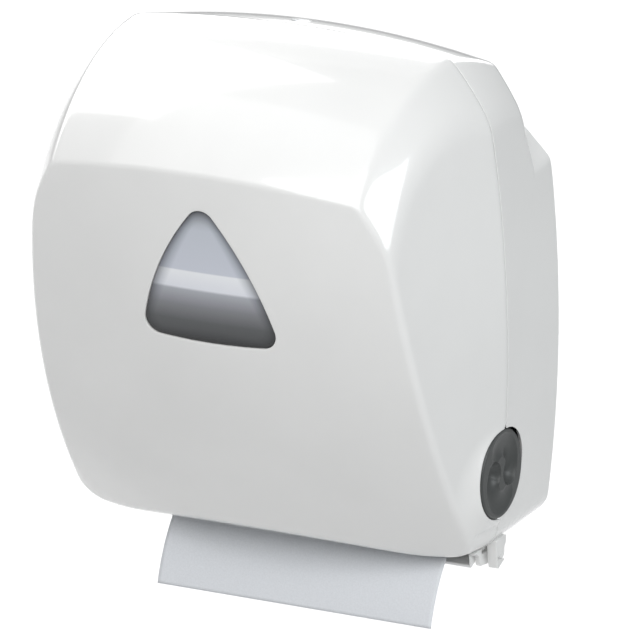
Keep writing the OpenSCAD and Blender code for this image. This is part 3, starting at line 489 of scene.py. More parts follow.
def as_lists(work, unit):
    """The mesh as (points, faces), with its points measured in a unit."""
    work.verts.index_update()
    points = [tuple(c / unit for c in v.co) for v in work.verts]
    faces = [[v.index for v in f.verts] for f in work.faces]
    work.free()
    return points, faces


def plate_x(outline, holes, x0, x1, round_r):
    """A plate across X from a [y, z] outline with round holes, its rims rounded."""
    loops = [[(x0 * MM, y * MM, z * MM) for y, z in loop] for loop in [outline] + holes]
    work = filled(loops, (1, 0, 0))
    grown = bmesh.ops.extrude_face_region(work, geom=work.faces[:])["geom"]
    moved = [v for v in grown if isinstance(v, bmesh.types.BMVert)]
    bmesh.ops.translate(work, verts=moved, vec=((x1 - x0) * MM, 0, 0))
    bmesh.ops.recalc_face_normals(work, faces=work.faces)
    bmesh.ops.dissolve_limit(work, angle_limit=FLAT_BEND, verts=work.verts, edges=work.edges)
    rims = [e for e in work.edges if e.calc_face_angle(0) > RIM_BEND_FROM]
    bmesh.ops.bevel(work, geom=rims, offset=round_r * MM, segments=RIM_STEPS, profile=0.5, affect="EDGES")
    bmesh.ops.triangulate(work, faces=[f for f in work.faces if len(f.verts) > 4])
    return as_lists(work, MM)


def tube(path, r, sides):
    """A round wire along a path, with flat ends."""
    path = np.asarray(path, float)
    along = np.gradient(path, axis=0)
    along /= np.linalg.norm(along, axis=1)[:, None]
    across = np.cross(along[0], ASKEW)
    points = []
    for p, t in zip(path, along):
        across = across - t * np.dot(across, t)
        across /= np.linalg.norm(across)
        other = np.cross(t, across)
        for i in range(sides):
            a = math.tau * i / sides
            points.append(p + r * (math.cos(a) * across + math.sin(a) * other))
    return points, ring_faces(len(path), sides) + end_faces(len(path), sides)


def lathe_x(profile, y, z, steps):
    """A closed [x, r] profile turned about an axis along X."""
    points = [(x, *place) for x, r in profile for place in circle_points(y, z, r, steps)]
    return points, ring_faces(len(profile), steps, closed_rings=True)


# Materials

def new_material(name, colour, roughness, **sockets):
    """A principled material, its node tree and its shader."""
    material = bpy.data.materials.new(name)
    material.use_nodes = True
    tree = material.node_tree
    shader = tree.nodes["Principled BSDF"]
    shader.inputs["Base Color"].default_value = (*colour, 1)
    shader.inputs["Roughness"].default_value = roughness
    for socket, value in sockets.items():
        shader.inputs[socket.replace("_", " ")].default_value = value
    return material, tree, shader


def coordinates(tree, scale):
    """A place on the piece, scaled evenly or along each axis."""
    place = tree.nodes.new("ShaderNodeTexCoord")
    mapping = tree.nodes.new("ShaderNodeMapping")
    mapping.inputs["Scale"].default_value = scale if isinstance(scale, tuple) else (scale,) * 3
    tree.links.new(place.outputs["Object"], mapping.inputs["Vector"])
    return mapping.outputs["Vector"]


def noise(tree, scale, size=1.0, detail=4.0):
    node = tree.nodes.new("ShaderNodeTexNoise")
    node.inputs["Scale"].default_value = size
    node.inputs["Detail"].default_value = detail
    tree.links.new(coordinates(tree, scale), node.inputs["Vector"])
    return node.outputs["Fac"]


def ramp(tree, source, stops):
    node = tree.nodes.new("ShaderNodeValToRGB")
    while len(node.color_ramp.elements) < len(stops):
        node.color_ramp.elements.new(0.5)
    for element, (place, colour) in zip(node.color_ramp.elements, stops):
        element.position = place
        element.color = (*colour, 1)
    tree.links.new(source, node.inputs["Fac"])
    return node.outputs["Color"]


def spread(tree, source, low, high):
    """A value from 0 to 1 stretched between two others."""
    node = tree.nodes.new("ShaderNodeMapRange")
    node.inputs["To Min"].default_value = low
    node.inputs["To Max"].default_value = high
    tree.links.new(source, node.inputs["Value"])
    return node.outputs["Result"]


def bump(tree, shader, height, strength, distance):
    node = tree.nodes.new("ShaderNodeBump")
    node.inputs["Strength"].default_value = strength
    node.inputs["Distance"].default_value = distance
    tree.links.new(height, node.inputs["Height"])
    tree.links.new(node.outputs["Normal"], shader.inputs["Normal"])


def shade(colour, factor):
    return tuple(min(c * factor, 1) for c in colour)


def plastic(name, colour, roughness, grain, grain_depth, **sockets):
    """Moulded plastic: a little cloudiness in its colour and gloss, and a fine moulded grain."""
    material, tree, shader = new_material(name, colour, roughness, **sockets)
    cloud = noise(tree, 9.0)
    tree.links.new(ramp(tree, cloud, [(0.3, shade(colour, 0.97)), (0.7, shade(colour, 1.02))]),
                   shader.inputs["Base Color"])
    smear = noise(tree, 26.0, detail=6.0)
    tree.links.new(spread(tree, smear, roughness * 0.75, roughness * 1.25), shader.inputs["Roughness"])
    bump(tree, shader, noise(tree, grain), 0.25, grain_depth)
    return material


def metal(name, colour, roughness, stretch):
    """Plated or drawn metal with fine lines along one way and a few dull spots."""
    material, tree, shader = new_material(name, colour, roughness, Metallic=1.0)
    lines = noise(tree, stretch, detail=8.0)
    tree.links.new(ramp(tree, lines, [(0.3, shade(colour, 0.82)), (0.7, shade(colour, 1.1))]),
                   shader.inputs["Base Color"])
    spots = noise(tree, 70.0)
    tree.links.new(spread(tree, spots, roughness * 0.7, roughness * 1.5), shader.inputs["Roughness"])
    bump(tree, shader, lines, 0.15, 0.0002)
    return material


def paper(name, colour):
    """Soft tissue: an embossed dimple pattern over loose fibres."""
    material, tree, shader = new_material(name, colour, 0.92)
    shader.inputs["Sheen Weight"].default_value = 0.15
    shader.inputs["Specular IOR Level"].default_value = 0.2
    fibres = noise(tree, 900.0, detail=8.0)
    dimples = tree.nodes.new("ShaderNodeTexVoronoi")
    dimples.inputs["Scale"].default_value = 1.0
    tree.links.new(coordinates(tree, 420.0), dimples.inputs["Vector"])
    height = tree.nodes.new("ShaderNodeMath")
    height.operation = "ADD"
    tree.links.new(dimples.outputs["Distance"], height.inputs[0])
    tree.links.new(spread(tree, fibres, 0.0, 0.4), height.inputs[1])
    tree.links.new(ramp(tree, fibres, [(0.3, shade(colour, 0.96)), (0.7, shade(colour, 1.03))]),
                   shader.inputs["Base Color"])
    bump(tree, shader, height.outputs["Value"], 0.3, 0.0002)
    return material


# Painted light on the smoked pane from foot to top: painted shade at its foot, a painted highlight band
# above the middle and a darker top; and painted shade within a reach of its rim
RIM_ATTRIBUTE = "rim_shade_share"
RIM_REACH = 9.0
PANE_PAINTED_LIGHT = [(0.0, (0.05, 0.052, 0.055)), (0.14, (0.1, 0.105, 0.11)), (0.26, (0.24, 0.245, 0.265)),
              (0.38, (0.46, 0.475, 0.52)), (0.4, (0.86, 0.88, 0.94)), (0.525, (0.95, 0.97, 1.0)),
              (0.535, (0.66, 0.69, 0.77)), (0.85, (0.6, 0.635, 0.7)), (1.0, (0.36, 0.37, 0.4))]
# Painted shade near the pane's rim, by each point's share of the reach to the rim
PANE_RIM_SHADE = [(0.0, (0.3, 0.3, 0.31)), (0.5, (0.72, 0.73, 0.74)), (1.0, (1.0, 1.0, 1.0))]


def smoked_pane_painted_light(name):
    """Smoked plastic with painted light: painted shade deepens towards the pane's foot and towards its
    rim, and a painted highlight band crosses it.
    """
    material, tree, shader = new_material(name, (0.5, 0.52, 0.55), 0.06,
                                          Coat_Weight=0.6, Coat_Roughness=0.03)
    place = tree.nodes.new("ShaderNodeTexCoord")
    split = tree.nodes.new("ShaderNodeSeparateXYZ")
    tree.links.new(place.outputs["Object"], split.inputs["Vector"])
    level = tree.nodes.new("ShaderNodeMapRange")
    level.inputs["From Min"].default_value = (WINDOW_Z - WINDOW_CORNER_R) * MM
    level.inputs["From Max"].default_value = (WINDOW_Z + WINDOW_H + WINDOW_CORNER_R) * MM
    tree.links.new(split.outputs["Z"], level.inputs["Value"])
    rim = tree.nodes.new("ShaderNodeAttribute")
    rim.attribute_name = RIM_ATTRIBUTE
    both = tree.nodes.new("ShaderNodeMix")
    both.data_type = "RGBA"
    both.blend_type = "MULTIPLY"
    both.inputs["Factor"].default_value = 1.0
    # Painted shade towards the foot, a painted highlight band and a darker top, by height
    tree.links.new(ramp(tree, level.outputs["Result"], PANE_PAINTED_LIGHT), both.inputs["A"])
    # Painted shade near the rim
    tree.links.new(ramp(tree, rim.outputs["Fac"], PANE_RIM_SHADE), both.inputs["B"])
    tree.links.new(both.outputs["Result"], shader.inputs["Base Color"])
    tree.links.new(spread(tree, noise(tree, 60.0), 0.04, 0.09), shader.inputs["Roughness"])
    shader.inputs["Transmission Weight"].default_value = 0.1
    shader.inputs["IOR"].default_value = 1.45
    return material


MATERIALS = {
    "white_gloss": plastic("gloss_white_moulding", (0.83, 0.83, 0.82), 0.2, 240.0, 0.00002,
                           Coat_Weight=0.8, Coat_Roughness=0.03),
    "white_satin": plastic("satin_white_moulding", (0.8, 0.8, 0.785), 0.42, 700.0, 0.0001),
    "smoked_window": smoked_pane_painted_light("smoked_clear_moulding"),
    "charcoal": plastic("charcoal_moulding", (0.062, 0.066, 0.065), 0.38, 1400.0, 0.00012),
    "steel": metal("zinc_plated_steel", (0.62, 0.63, 0.65), 0.3, (30.0, 900.0, 900.0)),
    "nylon": plastic("natural_nylon", (0.76, 0.74, 0.66), 0.5, 600.0, 0.0001),
    "rubber": plastic("ribbed_rubber", (0.035, 0.035, 0.037), 0.75, 1600.0, 0.0003),
    "towel_paper": paper("towel_tissue", (0.71, 0.73, 0.76)),
    "core_board": plastic("wound_core_board", (0.42, 0.31, 0.2), 0.85, 500.0, 0.0004),
}

for row in frame["record"]["subparts"]:
    node = frame["nodes"][row["node"]]
    node.data.materials.clear()
    node.data.materials.append(MATERIALS[row["material_slot"]])


# Window outline

def turn_between(a, b):
    return (b - a) % math.tau


def heading(way):
    return math.atan2(way[1], way[0])


def window_arcs(inset):
    """The window's outline as (centre, radius, from, sweep), corners and bowed sides in turn."""
    corners = [np.array(c) for c in ((WINDOW_HALF_W, 0), (0, WINDOW_H), (-WINDOW_HALF_W, 0))]
    radii = (WINDOW_SIDE_R, WINDOW_SIDE_R, WINDOW_BASE_R)
    bows = []
    for i in range(3):
        p, q = corners[i], corners[(i + 1) % 3]
        half = np.linalg.norm(q - p) / 2
        u = (q - p) / (2 * half)
        rise = math.sqrt((radii[i] - WINDOW_CORNER_R) ** 2 - half * half)
        bows.append((p + q) / 2 + rise * np.array([-u[1], u[0]]))
    arcs = []
    for i in range(3):
        before = heading(corners[i] - bows[i - 1])
        after = heading(corners[i] - bows[i])
        end = heading(corners[(i + 1) % 3] - bows[i])
        arcs.append((corners[i], WINDOW_CORNER_R - inset, before, turn_between(before, after)))
        arcs.append((bows[i], radii[i] - inset, after, turn_between(after, end)))
    return arcs


def window_reach(angles, inset):
    """Distance from the grid's centre to the window's outline at each angle."""
    line = []
    for centre, r, start, sweep in window_arcs(inset):
        a = start + sweep * np.linspace(0, 1, WINDOW_ARC_STEPS, endpoint=False)
        line.append(np.stack([centre[0] + r * np.cos(a), centre[1] + r * np.sin(a)], axis=1))
    line = np.concatenate(line) + (WINDOW_X - CENTRE[0], WINDOW_Z - CENTRE[2])
    turn = np.arctan2(line[:, 1], line[:, 0])
    order = np.argsort(turn)
    return np.interp(angles, turn[order], np.hypot(line[:, 0], line[:, 1])[order], period=math.tau)


# Grid lines around the shells

def knob_angles(fine, line):
    """Angles at which the parting line passes the knob's hole, close together at its ends."""
    side = (fine > math.pi) & (line[:, 0] > 0) & (line[:, 2] < 0)
    order = np.argsort(line[side, 2])
    turn = np.linspace(0, math.pi, KNOB_LINES)[1:-1]
    height = DRUM_Z - (KNOB_R + KNOB_GAP) * np.cos(turn)
    return np.interp(height, line[side, 2][order], fine[side][order])


def edge_angles():
    """Angles of the grid lines: even along the parting line, closer at the knob and the exit."""
    fine = np.linspace(0, math.tau, FINE_AROUND, endpoint=False)
    way = np.stack([np.cos(fine), np.zeros_like(fine), np.sin(fine)], axis=-1)
    start = np.array([CENTRE[0], PARTING_Y, CENTRE[2]])
    line = cast(cover_form, start, way, 0.0)
    steps = np.linalg.norm(np.diff(line, axis=0, append=line[:1]), axis=1)
    along = np.concatenate([[0], np.cumsum(steps)[:-1]])
    even = np.interp(np.linspace(0, steps.sum(), AROUND, endpoint=False), along, fine)
    knob = knob_angles(fine, line)
    ends = [x + strip - CENTRE[0] for x in OPENING_X for strip in (-OPENING_STRIP, OPENING_STRIP)]
    bottom = np.array([math.atan2(BOTTOM_Z - CENTRE[2], x) for x in ends]) % math.tau
    near_knob = (even > knob.min() - LINE_GAP) & (even < knob.max() + LINE_GAP)
    near_end = np.min(np.abs(even[:, None] - bottom[None, :]), axis=1) < LINE_GAP
    return np.sort(np.concatenate([even[~near_knob & ~near_end], knob, bottom]))


ANGLES = edge_angles()
COUNT = len(ANGLES)


def cover_cut(p):
    """Positive where the cover is cut away: behind the parting line, at the knob and at the exit."""
    x, y, z = p[..., 0], p[..., 1], p[..., 2]
    behind = y - (PARTING_Y - PART_GAP / 2)
    knob = np.where(x > 0, KNOB_R + KNOB_GAP - np.hypot(y - DRUM_Y, z - DRUM_Z), -REACH)
    sides = np.minimum(x - OPENING_X[0], OPENING_X[1] - x)
    way_out = np.minimum(np.minimum(sides, y - OPENING_Y), OPENING_TOP - z)
    return np.maximum(np.maximum(behind, knob), way_out)


def rays(turn):
    """Directions at each grid line's angle, turned out from straight ahead."""
    a = ANGLES[:, None] if turn.ndim == 2 else ANGLES
    return np.stack([np.sin(turn) * np.cos(a), -np.cos(turn), np.sin(turn) * np.sin(a)], axis=-1)


def crossing(turn, values, stop):
    """Where each grid line's values first rise past a stop."""
    row = np.arange(COUNT)
    k = np.argmax(values > stop, axis=1)
    share = (stop - values[row, k - 1]) / (values[row, k] - values[row, k - 1])
    return turn[row, k - 1] + share * (turn[row, k] - turn[row, k - 1])


def cover_lines(inset, first, stops, counts):
    """Points along the grid lines of one cover surface, and at each stop of the cut.

    They lie closer where the surface bends. All lines share the rings in front of the notches.
    """
    dense = first[:, None] + (FAR_TURN - first[:, None]) * np.linspace(0, 1, DENSE)
    line = cast(cover_form, CENTRE, rays(dense), inset)
    cut = cover_cut(line)
    ends = [crossing(dense, cut, stop) for stop in stops]
    last = crossing(dense, line[..., 1], LAST_Y)
    step = np.diff(line, axis=1)
    length = np.linalg.norm(step, axis=2)
    way = step / length[..., None]
    bend = np.arccos(np.clip((way[:, 1:] * way[:, :-1]).sum(axis=2), -1, 1))
    measure = length + BEND_WEIGHT * np.concatenate([np.zeros((COUNT, 1)), bend], axis=1)
    along = np.concatenate([np.zeros((COUNT, 1)), np.cumsum(measure, axis=1)], axis=1)
    turn = np.empty((COUNT, sum(counts)))
    for i in range(COUNT):
        middle = np.interp(last[i], dense[i], along[i])
        total = np.interp(ends[0][i], dense[i], along[i])
        places = np.concatenate([np.linspace(0, middle, counts[0], endpoint=False),
                                 np.linspace(middle, total, counts[1])])
        turn[i] = np.interp(places, along[i], dense[i])
    surface = cast(cover_form, CENTRE, rays(turn), inset)
    rims = [cast(cover_form, CENTRE, rays(end), inset) for end in ends[1:]]
    return surface, rims


def front_point(reach, inset, depth):
    """The front face over the window's outline, and that much below it."""
    x = CENTRE[0] + reach * np.cos(ANGLES)
    z = CENTRE[2] + reach * np.sin(ANGLES)
    start = np.stack([x, np.full_like(x, CENTRE[1]), z], axis=-1)
    way = np.broadcast_to(np.array([0.0, -1.0, 0.0]), start.shape)
    return cast(cover_form, start, way, inset) + (0, depth, 0)


def turn_out(p):
    """How far points are turned out from straight ahead of the grid's centre."""
    return np.arctan2(np.hypot(p[:, 0] - CENTRE[0], p[:, 2] - CENTRE[2]), CENTRE[1] - p[:, 1])


def cover_shell():
    """The cover as one closed skin: outside, rims and inside."""
    bend = RIM_BEND * RIM_R
    soft = ((0.0, RIM_R), (bend, bend))
    rings = [front_point(window_reach(ANGLES, -out), 0.0, down) for out, down in soft]
    first = turn_out(front_point(window_reach(ANGLES, -RIM_R), 0.0, 0.0))
    outside, rims = cover_lines(0.0, first, [-RIM_R, -bend, 0.0], OUTWARD)
    rings += list(outside.transpose(1, 0, 2))
    for rim, down in zip(rims, (bend, RIM_R)):
        rings.append(rim - down * normals(cover_form, rim, 0.0))
    first = turn_out(front_point(window_reach(ANGLES, 0.0), WALL, 0.0))
    inside, _ = cover_lines(WALL, first, [0.0], INSIDE)
    rings += list(inside.transpose(1, 0, 2)[::-1])
    return np.concatenate(rings), ring_faces(len(rings), COUNT, closed_rings=True)


def arc_points(y, z, r, first, last, steps):
    """Points of an arc as (y, z), from one angle to another."""
    return [(y + r * math.cos(a), z + r * math.sin(a)) for a in np.linspace(first, last, steps)]


def hinge_lug(x0, depth, hollow_r):
    """A deep arm from the hinge pin forward to the cover's floor."""
    foot = BOTTOM_Z - depth
    step, rise = LUG_CHAMFER
    eye = arc_points(HINGE_Y, HINGE_Z, LUG_EYE_R, LUG_EYE_TOP, LUG_EYE_END, LUG_EYE_STEPS)
    hollow = arc_points(LUG_FRONT - hollow_r, BOTTOM_Z - hollow_r, hollow_r,
                        0, math.pi / 2, LUG_HOLLOW_STEPS)
    outline = eye + [(LUG_FRONT + step, foot), (LUG_FRONT, foot + rise)] + hollow
    outline += [(LUG_ROOT, BOTTOM_Z), (LUG_ROOT, LUG_TOP)]
    outline += [(LUG_BACK, LUG_TOP), (LUG_BACK, HINGE_Z + LUG_EYE_R)]
    bore = circle_points(HINGE_Y, HINGE_Z, HINGE_PIN_R + LUG_GAP, HOLE_STEPS)
    return plate_x(outline, [bore], x0, x0 + LUG_W, PLATE_RIM_R)


def make_cover():
    """The front cover with a hinge lug on each side."""
    parts = [cover_shell(), hinge_lug(LUG_X, *RIGHT_LUG), hinge_lug(-LUG_X - LUG_W, *LEFT_LUG)]
    points, faces = merged(parts)
    cover = mesh_piece("cover_shell", points, faces, "cover", "white_gloss")
    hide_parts("front_cover")


# Rear case

def section(form, y, inset):
    """A ring of the rear case at a distance from the wall, or at one for each grid line."""
    way = np.stack([np.cos(ANGLES), np.zeros(COUNT), np.sin(ANGLES)], axis=-1)
    x, z = np.full(COUNT, CENTRE[0]), np.full(COUNT, CENTRE[2])
    start = np.stack([x, np.broadcast_to(y, COUNT), z], axis=-1)
    return cast(form, start, way, inset)


def case_lines(inset, first_y, step_y, back_y, levels):
    """Rings of the rear case from the parting line, round the step's edge, to the back."""
    low = section(flange_form, step_y, inset)
    proud = np.linalg.norm(section(case_form, step_y, inset) - low, axis=1)
    edge_r = np.minimum(STEP_EDGE_R - inset, proud / 2)
    shares = np.linspace(0, 1, levels)
    rings = [section(case_form, first_y + (step_y - edge_r - first_y) * t, inset) for t in shares]
    for turn in np.linspace(0, math.pi / 2, STEP_TURNS)[1:]:
        y = step_y - edge_r * (1 - math.sin(turn))
        rings.append(section(case_form, y, inset + edge_r * (1 - math.cos(turn))))
    rings.append(low)
    rings += [section(flange_form, y, inset) for y in np.linspace(step_y, back_y, FLANGE_LEVELS)[1:]]
    return rings


def case_start(y):
    """Where each grid line of the case starts: at the parting line, or behind the knob's hole."""
    edge = section(case_form, PARTING_Y, 0.0)
    gap = (KNOB_R + KNOB_GAP) ** 2 - (edge[:, 2] - DRUM_Z) ** 2
    hole = DRUM_Y + np.sqrt(np.maximum(gap, 0))
    return np.where((edge[:, 0] > 0) & (gap > 0), np.maximum(y, hole), y)


def screw_holes():
    """Outlines of the wall screws' holes as (x, z)."""
    half_x, half_z = SCREW_SPAN_X / 2, SCREW_SPAN_Z / 2
    places = [(x, z) for x in (-half_x, half_x) for z in (-half_z, half_z)]
    return [circle_points(x, z, SCREW_HOLE_R, HOLE_STEPS) for x, z in places]


def back_plate(rim, y):
    """The flat back inside a ring, with its screw holes."""
    outlines = [[(x, z) for x, _, z in rim]] + screw_holes()
    loops = [[(x, y, z) for x, z in outline] for outline in outlines]
    return as_lists(filled(loops, (0, 1, 0)), 1)


def hole_walls():
    """The insides of the screw holes, through the back's thickness."""
    parts = []
    for loop in screw_holes():
        points = [(x, y, z) for y in (0.0, -BACK_T) for x, z in loop]
        parts.append((points, ring_faces(2, HOLE_STEPS)))
    return parts


def hinge_ear(x0, x1, r, bores):
    """A rounded ear under the case that carries the hinge pin."""
    foot = arc_points(HINGE_Y, HINGE_Z, r, 0, -math.pi, EAR_STEPS)
    outline = foot + [(HINGE_Y - r, EAR_TOP), (HINGE_Y + r, EAR_TOP)]
    return plate_x(outline, bores, x0, x1, EAR_RIM_R)


def hinge_parts():
    """The ears on both sides, and the outer ear and hooked block on the right."""
    bore = circle_points(HINGE_Y, HINGE_Z, HINGE_PIN_R + EAR_GAP, HOLE_STEPS)
    parts = [hinge_ear(*EAR_X, EAR_R, [bore]), hinge_ear(-EAR_X[1], -EAR_X[0], EAR_R, [bore])]
    parts.append(hinge_ear(*OUTER_EAR_X, OUTER_EAR_R, []))
    parts.append(plate_x(BLOCK_OUTLINE, [], *BLOCK_X, PLATE_RIM_R))
    return parts


def clear_of_lock(points, faces, r):
    """The faces whose middle isn't over the lock."""
    middle = points[np.array(faces)].mean(axis=1)
    over = (np.hypot(middle[:, 0], middle[:, 1] - LOCK_Y) < r) & (middle[:, 2] > 0)
    return [face for face, hidden in zip(faces, over) if not hidden]


def lock_ring():
    """A flush ring in the case's top, with the bore that the lock's barrel turns in."""
    rings = []
    for r, rise in LOCK_RING:
        start = np.array([(x, y, 0.0) for x, y in circle_points(0.0, LOCK_Y, r, LOCK_RING_STEPS)])
        up = np.broadcast_to([0.0, 0.0, 1.0], start.shape)
        rings.append(cast(case_form, start, up, 0.0) + (0, 0, rise))
    return np.concatenate(rings), ring_faces(len(rings), LOCK_RING_STEPS)


def make_case():
    """The rear case: skin, lining, lock ring, back, screw holes and hinge ears."""
    edge_y = PARTING_Y + PART_GAP / 2
    outer = case_lines(0.0, case_start(edge_y + RIM_R), FLANGE_Y, -RIM_R, CASE_LEVELS[0])
    inner = case_lines(WALL, case_start(edge_y), FLANGE_Y - WALL, -BACK_T, CASE_LEVELS[1])
    rim = section(case_form, case_start(edge_y), RIM_R)
    back = section(flange_form, 0.0, RIM_R)
    rings = [rim] + outer + [back]
    outside, inside = np.concatenate(rings), np.concatenate(inner)
    skin = (outside, clear_of_lock(outside, ring_faces(len(rings), COUNT), LOCK_SKIN_R))
    lining = (inside, clear_of_lock(inside, ring_faces(len(inner), COUNT), LOCK_LINING_R))
    lip = (np.concatenate([rim, inner[0]]), ring_faces(2, COUNT))
    parts = [skin, lining, lip, lock_ring(), back_plate(back, 0.0), back_plate(inner[-1], -BACK_T)]
    points, faces = merged(parts + hole_walls() + hinge_parts())
    case = mesh_piece("case_shell", points, faces, "rear_case", "white_gloss")
    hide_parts("rear_case")


def pin_body(start, end):
    """One hinge pin with rounded ends."""
    flat = HINGE_PIN_R - PIN_EASE
    profile = [(start, PIN_MIDDLE_R), (start, flat), (start + PIN_EASE, HINGE_PIN_R),
               (end - PIN_EASE, HINGE_PIN_R), (end, flat), (end, PIN_MIDDLE_R)]
    return lathe_x(profile, HINGE_Y, HINGE_Z, PIN_STEPS)


def make_pins():
    """The left pin ends in its lug, and the right one runs on into the outer ear."""
    right = pin_body(EAR_X[0] + PIN_INSET, OUTER_EAR_X[0] + PIN_IN_OUTER_EAR)
    left = pin_body(-LUG_X - LUG_W + PIN_LEFT_INSET, -EAR_X[0] - PIN_INSET)
    points, faces = merged([right, left])
    pins = mesh_piece("hinge_pin_pair", points, faces, "rear_case", "steel")
    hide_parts("hinge_pins")


# Exit chute

def from_fold(points):
    """Points given from the chute's fold, in the part's own frame."""
    return [(CHUTE_FOLD + y, BOTTOM_Z + z) for y, z in points]


def make_chute():
    """A tray under the case, a lip that ends in a bar below the towel's way out, and an end plate."""
    under, lap = BOTTOM_Z - CHUTE_T, CHUTE_SPLIT + CHUTE_LAP
    lip = [(CHUTE_SPLIT, BOTTOM_Z)] + from_fold(LIP_SECTION) + [(CHUTE_SPLIT, under)]
    tray = [(CHUTE_BACK, BOTTOM_Z), (lap, BOTTOM_Z), (lap, under), (CHUTE_BACK, under)]
    end = from_fold(END_SECTION)
    points, faces = merged([
        plate_x(lip, [], CHUTE_LEFT, CHUTE_RIGHT, PLATE_RIM_R),
        plate_x(tray, [], CHUTE_LEFT, CHUTE_RIGHT_BEHIND, PLATE_RIM_R),
        plate_x(end, [], CHUTE_RIGHT, CHUTE_RIGHT + CHUTE_END_T, CHUTE_END_RIM_R),
    ])
    chute = mesh_piece("exit_tray", points, faces, "rear_case", "white_gloss")
    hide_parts("exit_chute")


# Window pane

def pane_lines():
    """The pane's rings, front to back, as outline inset, share of the reach and depth."""
    face, belt, back = PANE_RINGS
    inner = np.linspace(PANE_CORE, PANE_BELT, face)
    outer = np.linspace(PANE_BELT, 1, belt)[1:]
    bend = RIM_BEND * RIM_R
    lines = [(WINDOW_GAP + RIM_R, share, WINDOW_RECESS) for share in (*inner, *outer)]
    lines += [(WINDOW_GAP + bend, 1, WINDOW_RECESS + bend), (WINDOW_GAP, 1, WINDOW_RECESS + RIM_R)]
    lines += [(WINDOW_GAP, 1, PANE_SEAT), (-PANE_LAP, 1, PANE_SEAT), (-PANE_LAP, 1, PANE_BACK)]
    return lines + [(-PANE_LAP, share, PANE_BACK) for share in np.linspace(1, PANE_CORE, back)[1:]]


def make_pane():
    """The smoked pane: its face in the window and a flange behind the cover."""
    rings, rim_shade_share = [], []
    for inset, share, depth in pane_lines():
        reach = window_reach(ANGLES, inset)
        rings.append(front_point(share * reach, depth, 0.0))
        rim_shade_share.append(np.clip((1 - share) * reach / RIM_REACH, 0, 1))
    faces = ring_faces(len(rings), COUNT) + end_faces(len(rings), COUNT)
    pane = mesh_piece("window_panel", np.concatenate(rings), faces, "cover", "smoked_window")
    # Each point's nearness to the rim, which the material turns into painted shade
    shares = pane.data.attributes.new(RIM_ATTRIBUTE, "FLOAT", "POINT")
    shares.data.foreach_set("value", np.concatenate(rim_shade_share))
    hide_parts("window_pane")


# Feed knob

def finger_recess(u, v):
    """Depth of one comma-shaped recess: a deep bowl at its head, shallow along its curled tail."""
    u, v = u - RECESS_MIDDLE[0], v - RECESS_MIDDLE[1]
    turn = np.clip(np.arctan2(v, u), RECESS_HEAD, RECESS_TAIL)
    share = (turn - RECESS_HEAD) / (RECESS_TAIL - RECESS_HEAD)
    away = np.hypot(u - RECESS_R * np.cos(turn), v - RECESS_R * np.sin(turn))
    width = RECESS_WIDTH[0] + (RECESS_WIDTH[1] - RECESS_WIDTH[0]) * share
    depth = RECESS_DEPTH[1] + (RECESS_DEPTH[0] - RECESS_DEPTH[1]) * (1 - share) ** 2
    inside = np.clip(1 - (away / width) ** 2, 0, 1)
    return depth * inside ** RECESS_FULLNESS


def knob_lines(u, v):
    """The knob's rings as places along X and radii, from the middle of its face to its bore."""
    flat_r = KNOB_R - KNOB_EDGE_R
    lines = []
    for r in np.linspace(KNOB_MIDDLE_R, flat_r, KNOB_RINGS):
        sunk = np.maximum(finger_recess(r * u, r * v), finger_recess(-r * u, -r * v))
        lines.append((KNOB_FACE - sunk, r))
    for a in np.linspace(0, math.pi / 2, KNOB_EDGE_STEPS)[1:]:
        x = KNOB_FACE - KNOB_EDGE_R + KNOB_EDGE_R * math.cos(a)
        lines.append((x, flat_r + KNOB_EDGE_R * math.sin(a)))
    back, hub_r = KNOB_FACE - KNOB_T, SHAFT_R + KNOB_HUB_WALL
    hub_end = back - KNOB_HUB_L
    return lines + [(back, KNOB_R), (back, hub_r), (hub_end, hub_r), (hub_end, SHAFT_R + SHAFT_GAP)]


def make_knob():
    """A thick disc with two finger recesses and a hub behind it."""
    turn = math.tau * np.arange(KNOB_AROUND) / KNOB_AROUND
    u, v = np.cos(turn), np.sin(turn)
    rings = [np.stack([np.broadcast_to(x, KNOB_AROUND), DRUM_Y + r * u, DRUM_Z + r * v], axis=1)
             for x, r in knob_lines(u, v)]
    faces = ring_faces(len(rings), KNOB_AROUND) + end_faces(len(rings), KNOB_AROUND)
    knob = mesh_piece("knob_disc", np.concatenate(rings), faces, "drum", "charcoal")
    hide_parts("feed_knob")


# Paper

def sheet_piece(name, line, node):
    """A sheet across the paper's width along a [y, z] line."""
    wide = SHEET_COLUMNS + 1
    across = [PAPER_X[0] + (PAPER_X[1] - PAPER_X[0]) * i / SHEET_COLUMNS for i in range(wide)]
    points = [(x, y, z) for y, z in line for x in across]
    corners = [j * wide + i for j in range(len(line) - 1) for i in range(SHEET_COLUMNS)]
    faces = [(a, a + 1, a + wide + 1, a + wide) for a in corners]
    piece = mesh_piece(name, points, faces, "rear_case", "towel_paper", sharp=80)
    thick = piece.modifiers.new("thickness", "SOLIDIFY")
    thick.thickness = SHEET_T * MM
    thick.offset = 0
    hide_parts(node)


def make_tail():
    """The hanging towel: straight down the exit's slope, then in an arc towards the floor."""
    y, z = EXIT_POINT
    cos, sin = math.cos(EXIT_SLOPE), math.sin(EXIT_SLOPE)
    line = [(y - s * cos, z - s * sin) for s in np.linspace(0, EXIT_RUN, TAIL_ROWS[0])]
    y, z = line[-1]
    for slope in np.linspace(EXIT_SLOPE, TAIL_END_SLOPE, TAIL_ROWS[1])[1:]:
        line.append((y - TAIL_R * (math.sin(slope) - sin), z - TAIL_R * (cos - math.cos(slope))))
    sheet_piece("towel_sheet", line, "towel_tail")


def make_web():
    """The paper from the roll down to the nip."""
    low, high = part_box("paper_web")
    top = (high.y / MM - SHEET_T, high.z / MM)
    foot = (low.y / MM + SHEET_T, low.z / MM)
    roll_side = math.dist(top, (ROLL_Y, ROLL_Z)) < math.dist(foot, (ROLL_Y, ROLL_Z))
    start, end = (top, foot) if roll_side else (foot, top)
    line = [(start[0] + (end[0] - start[0]) * t, start[1] + (end[1] - start[1]) * t)
            for t in np.linspace(0, 1, WEB_ROWS)]
    sheet_piece("web_sheet", line, "paper_web")


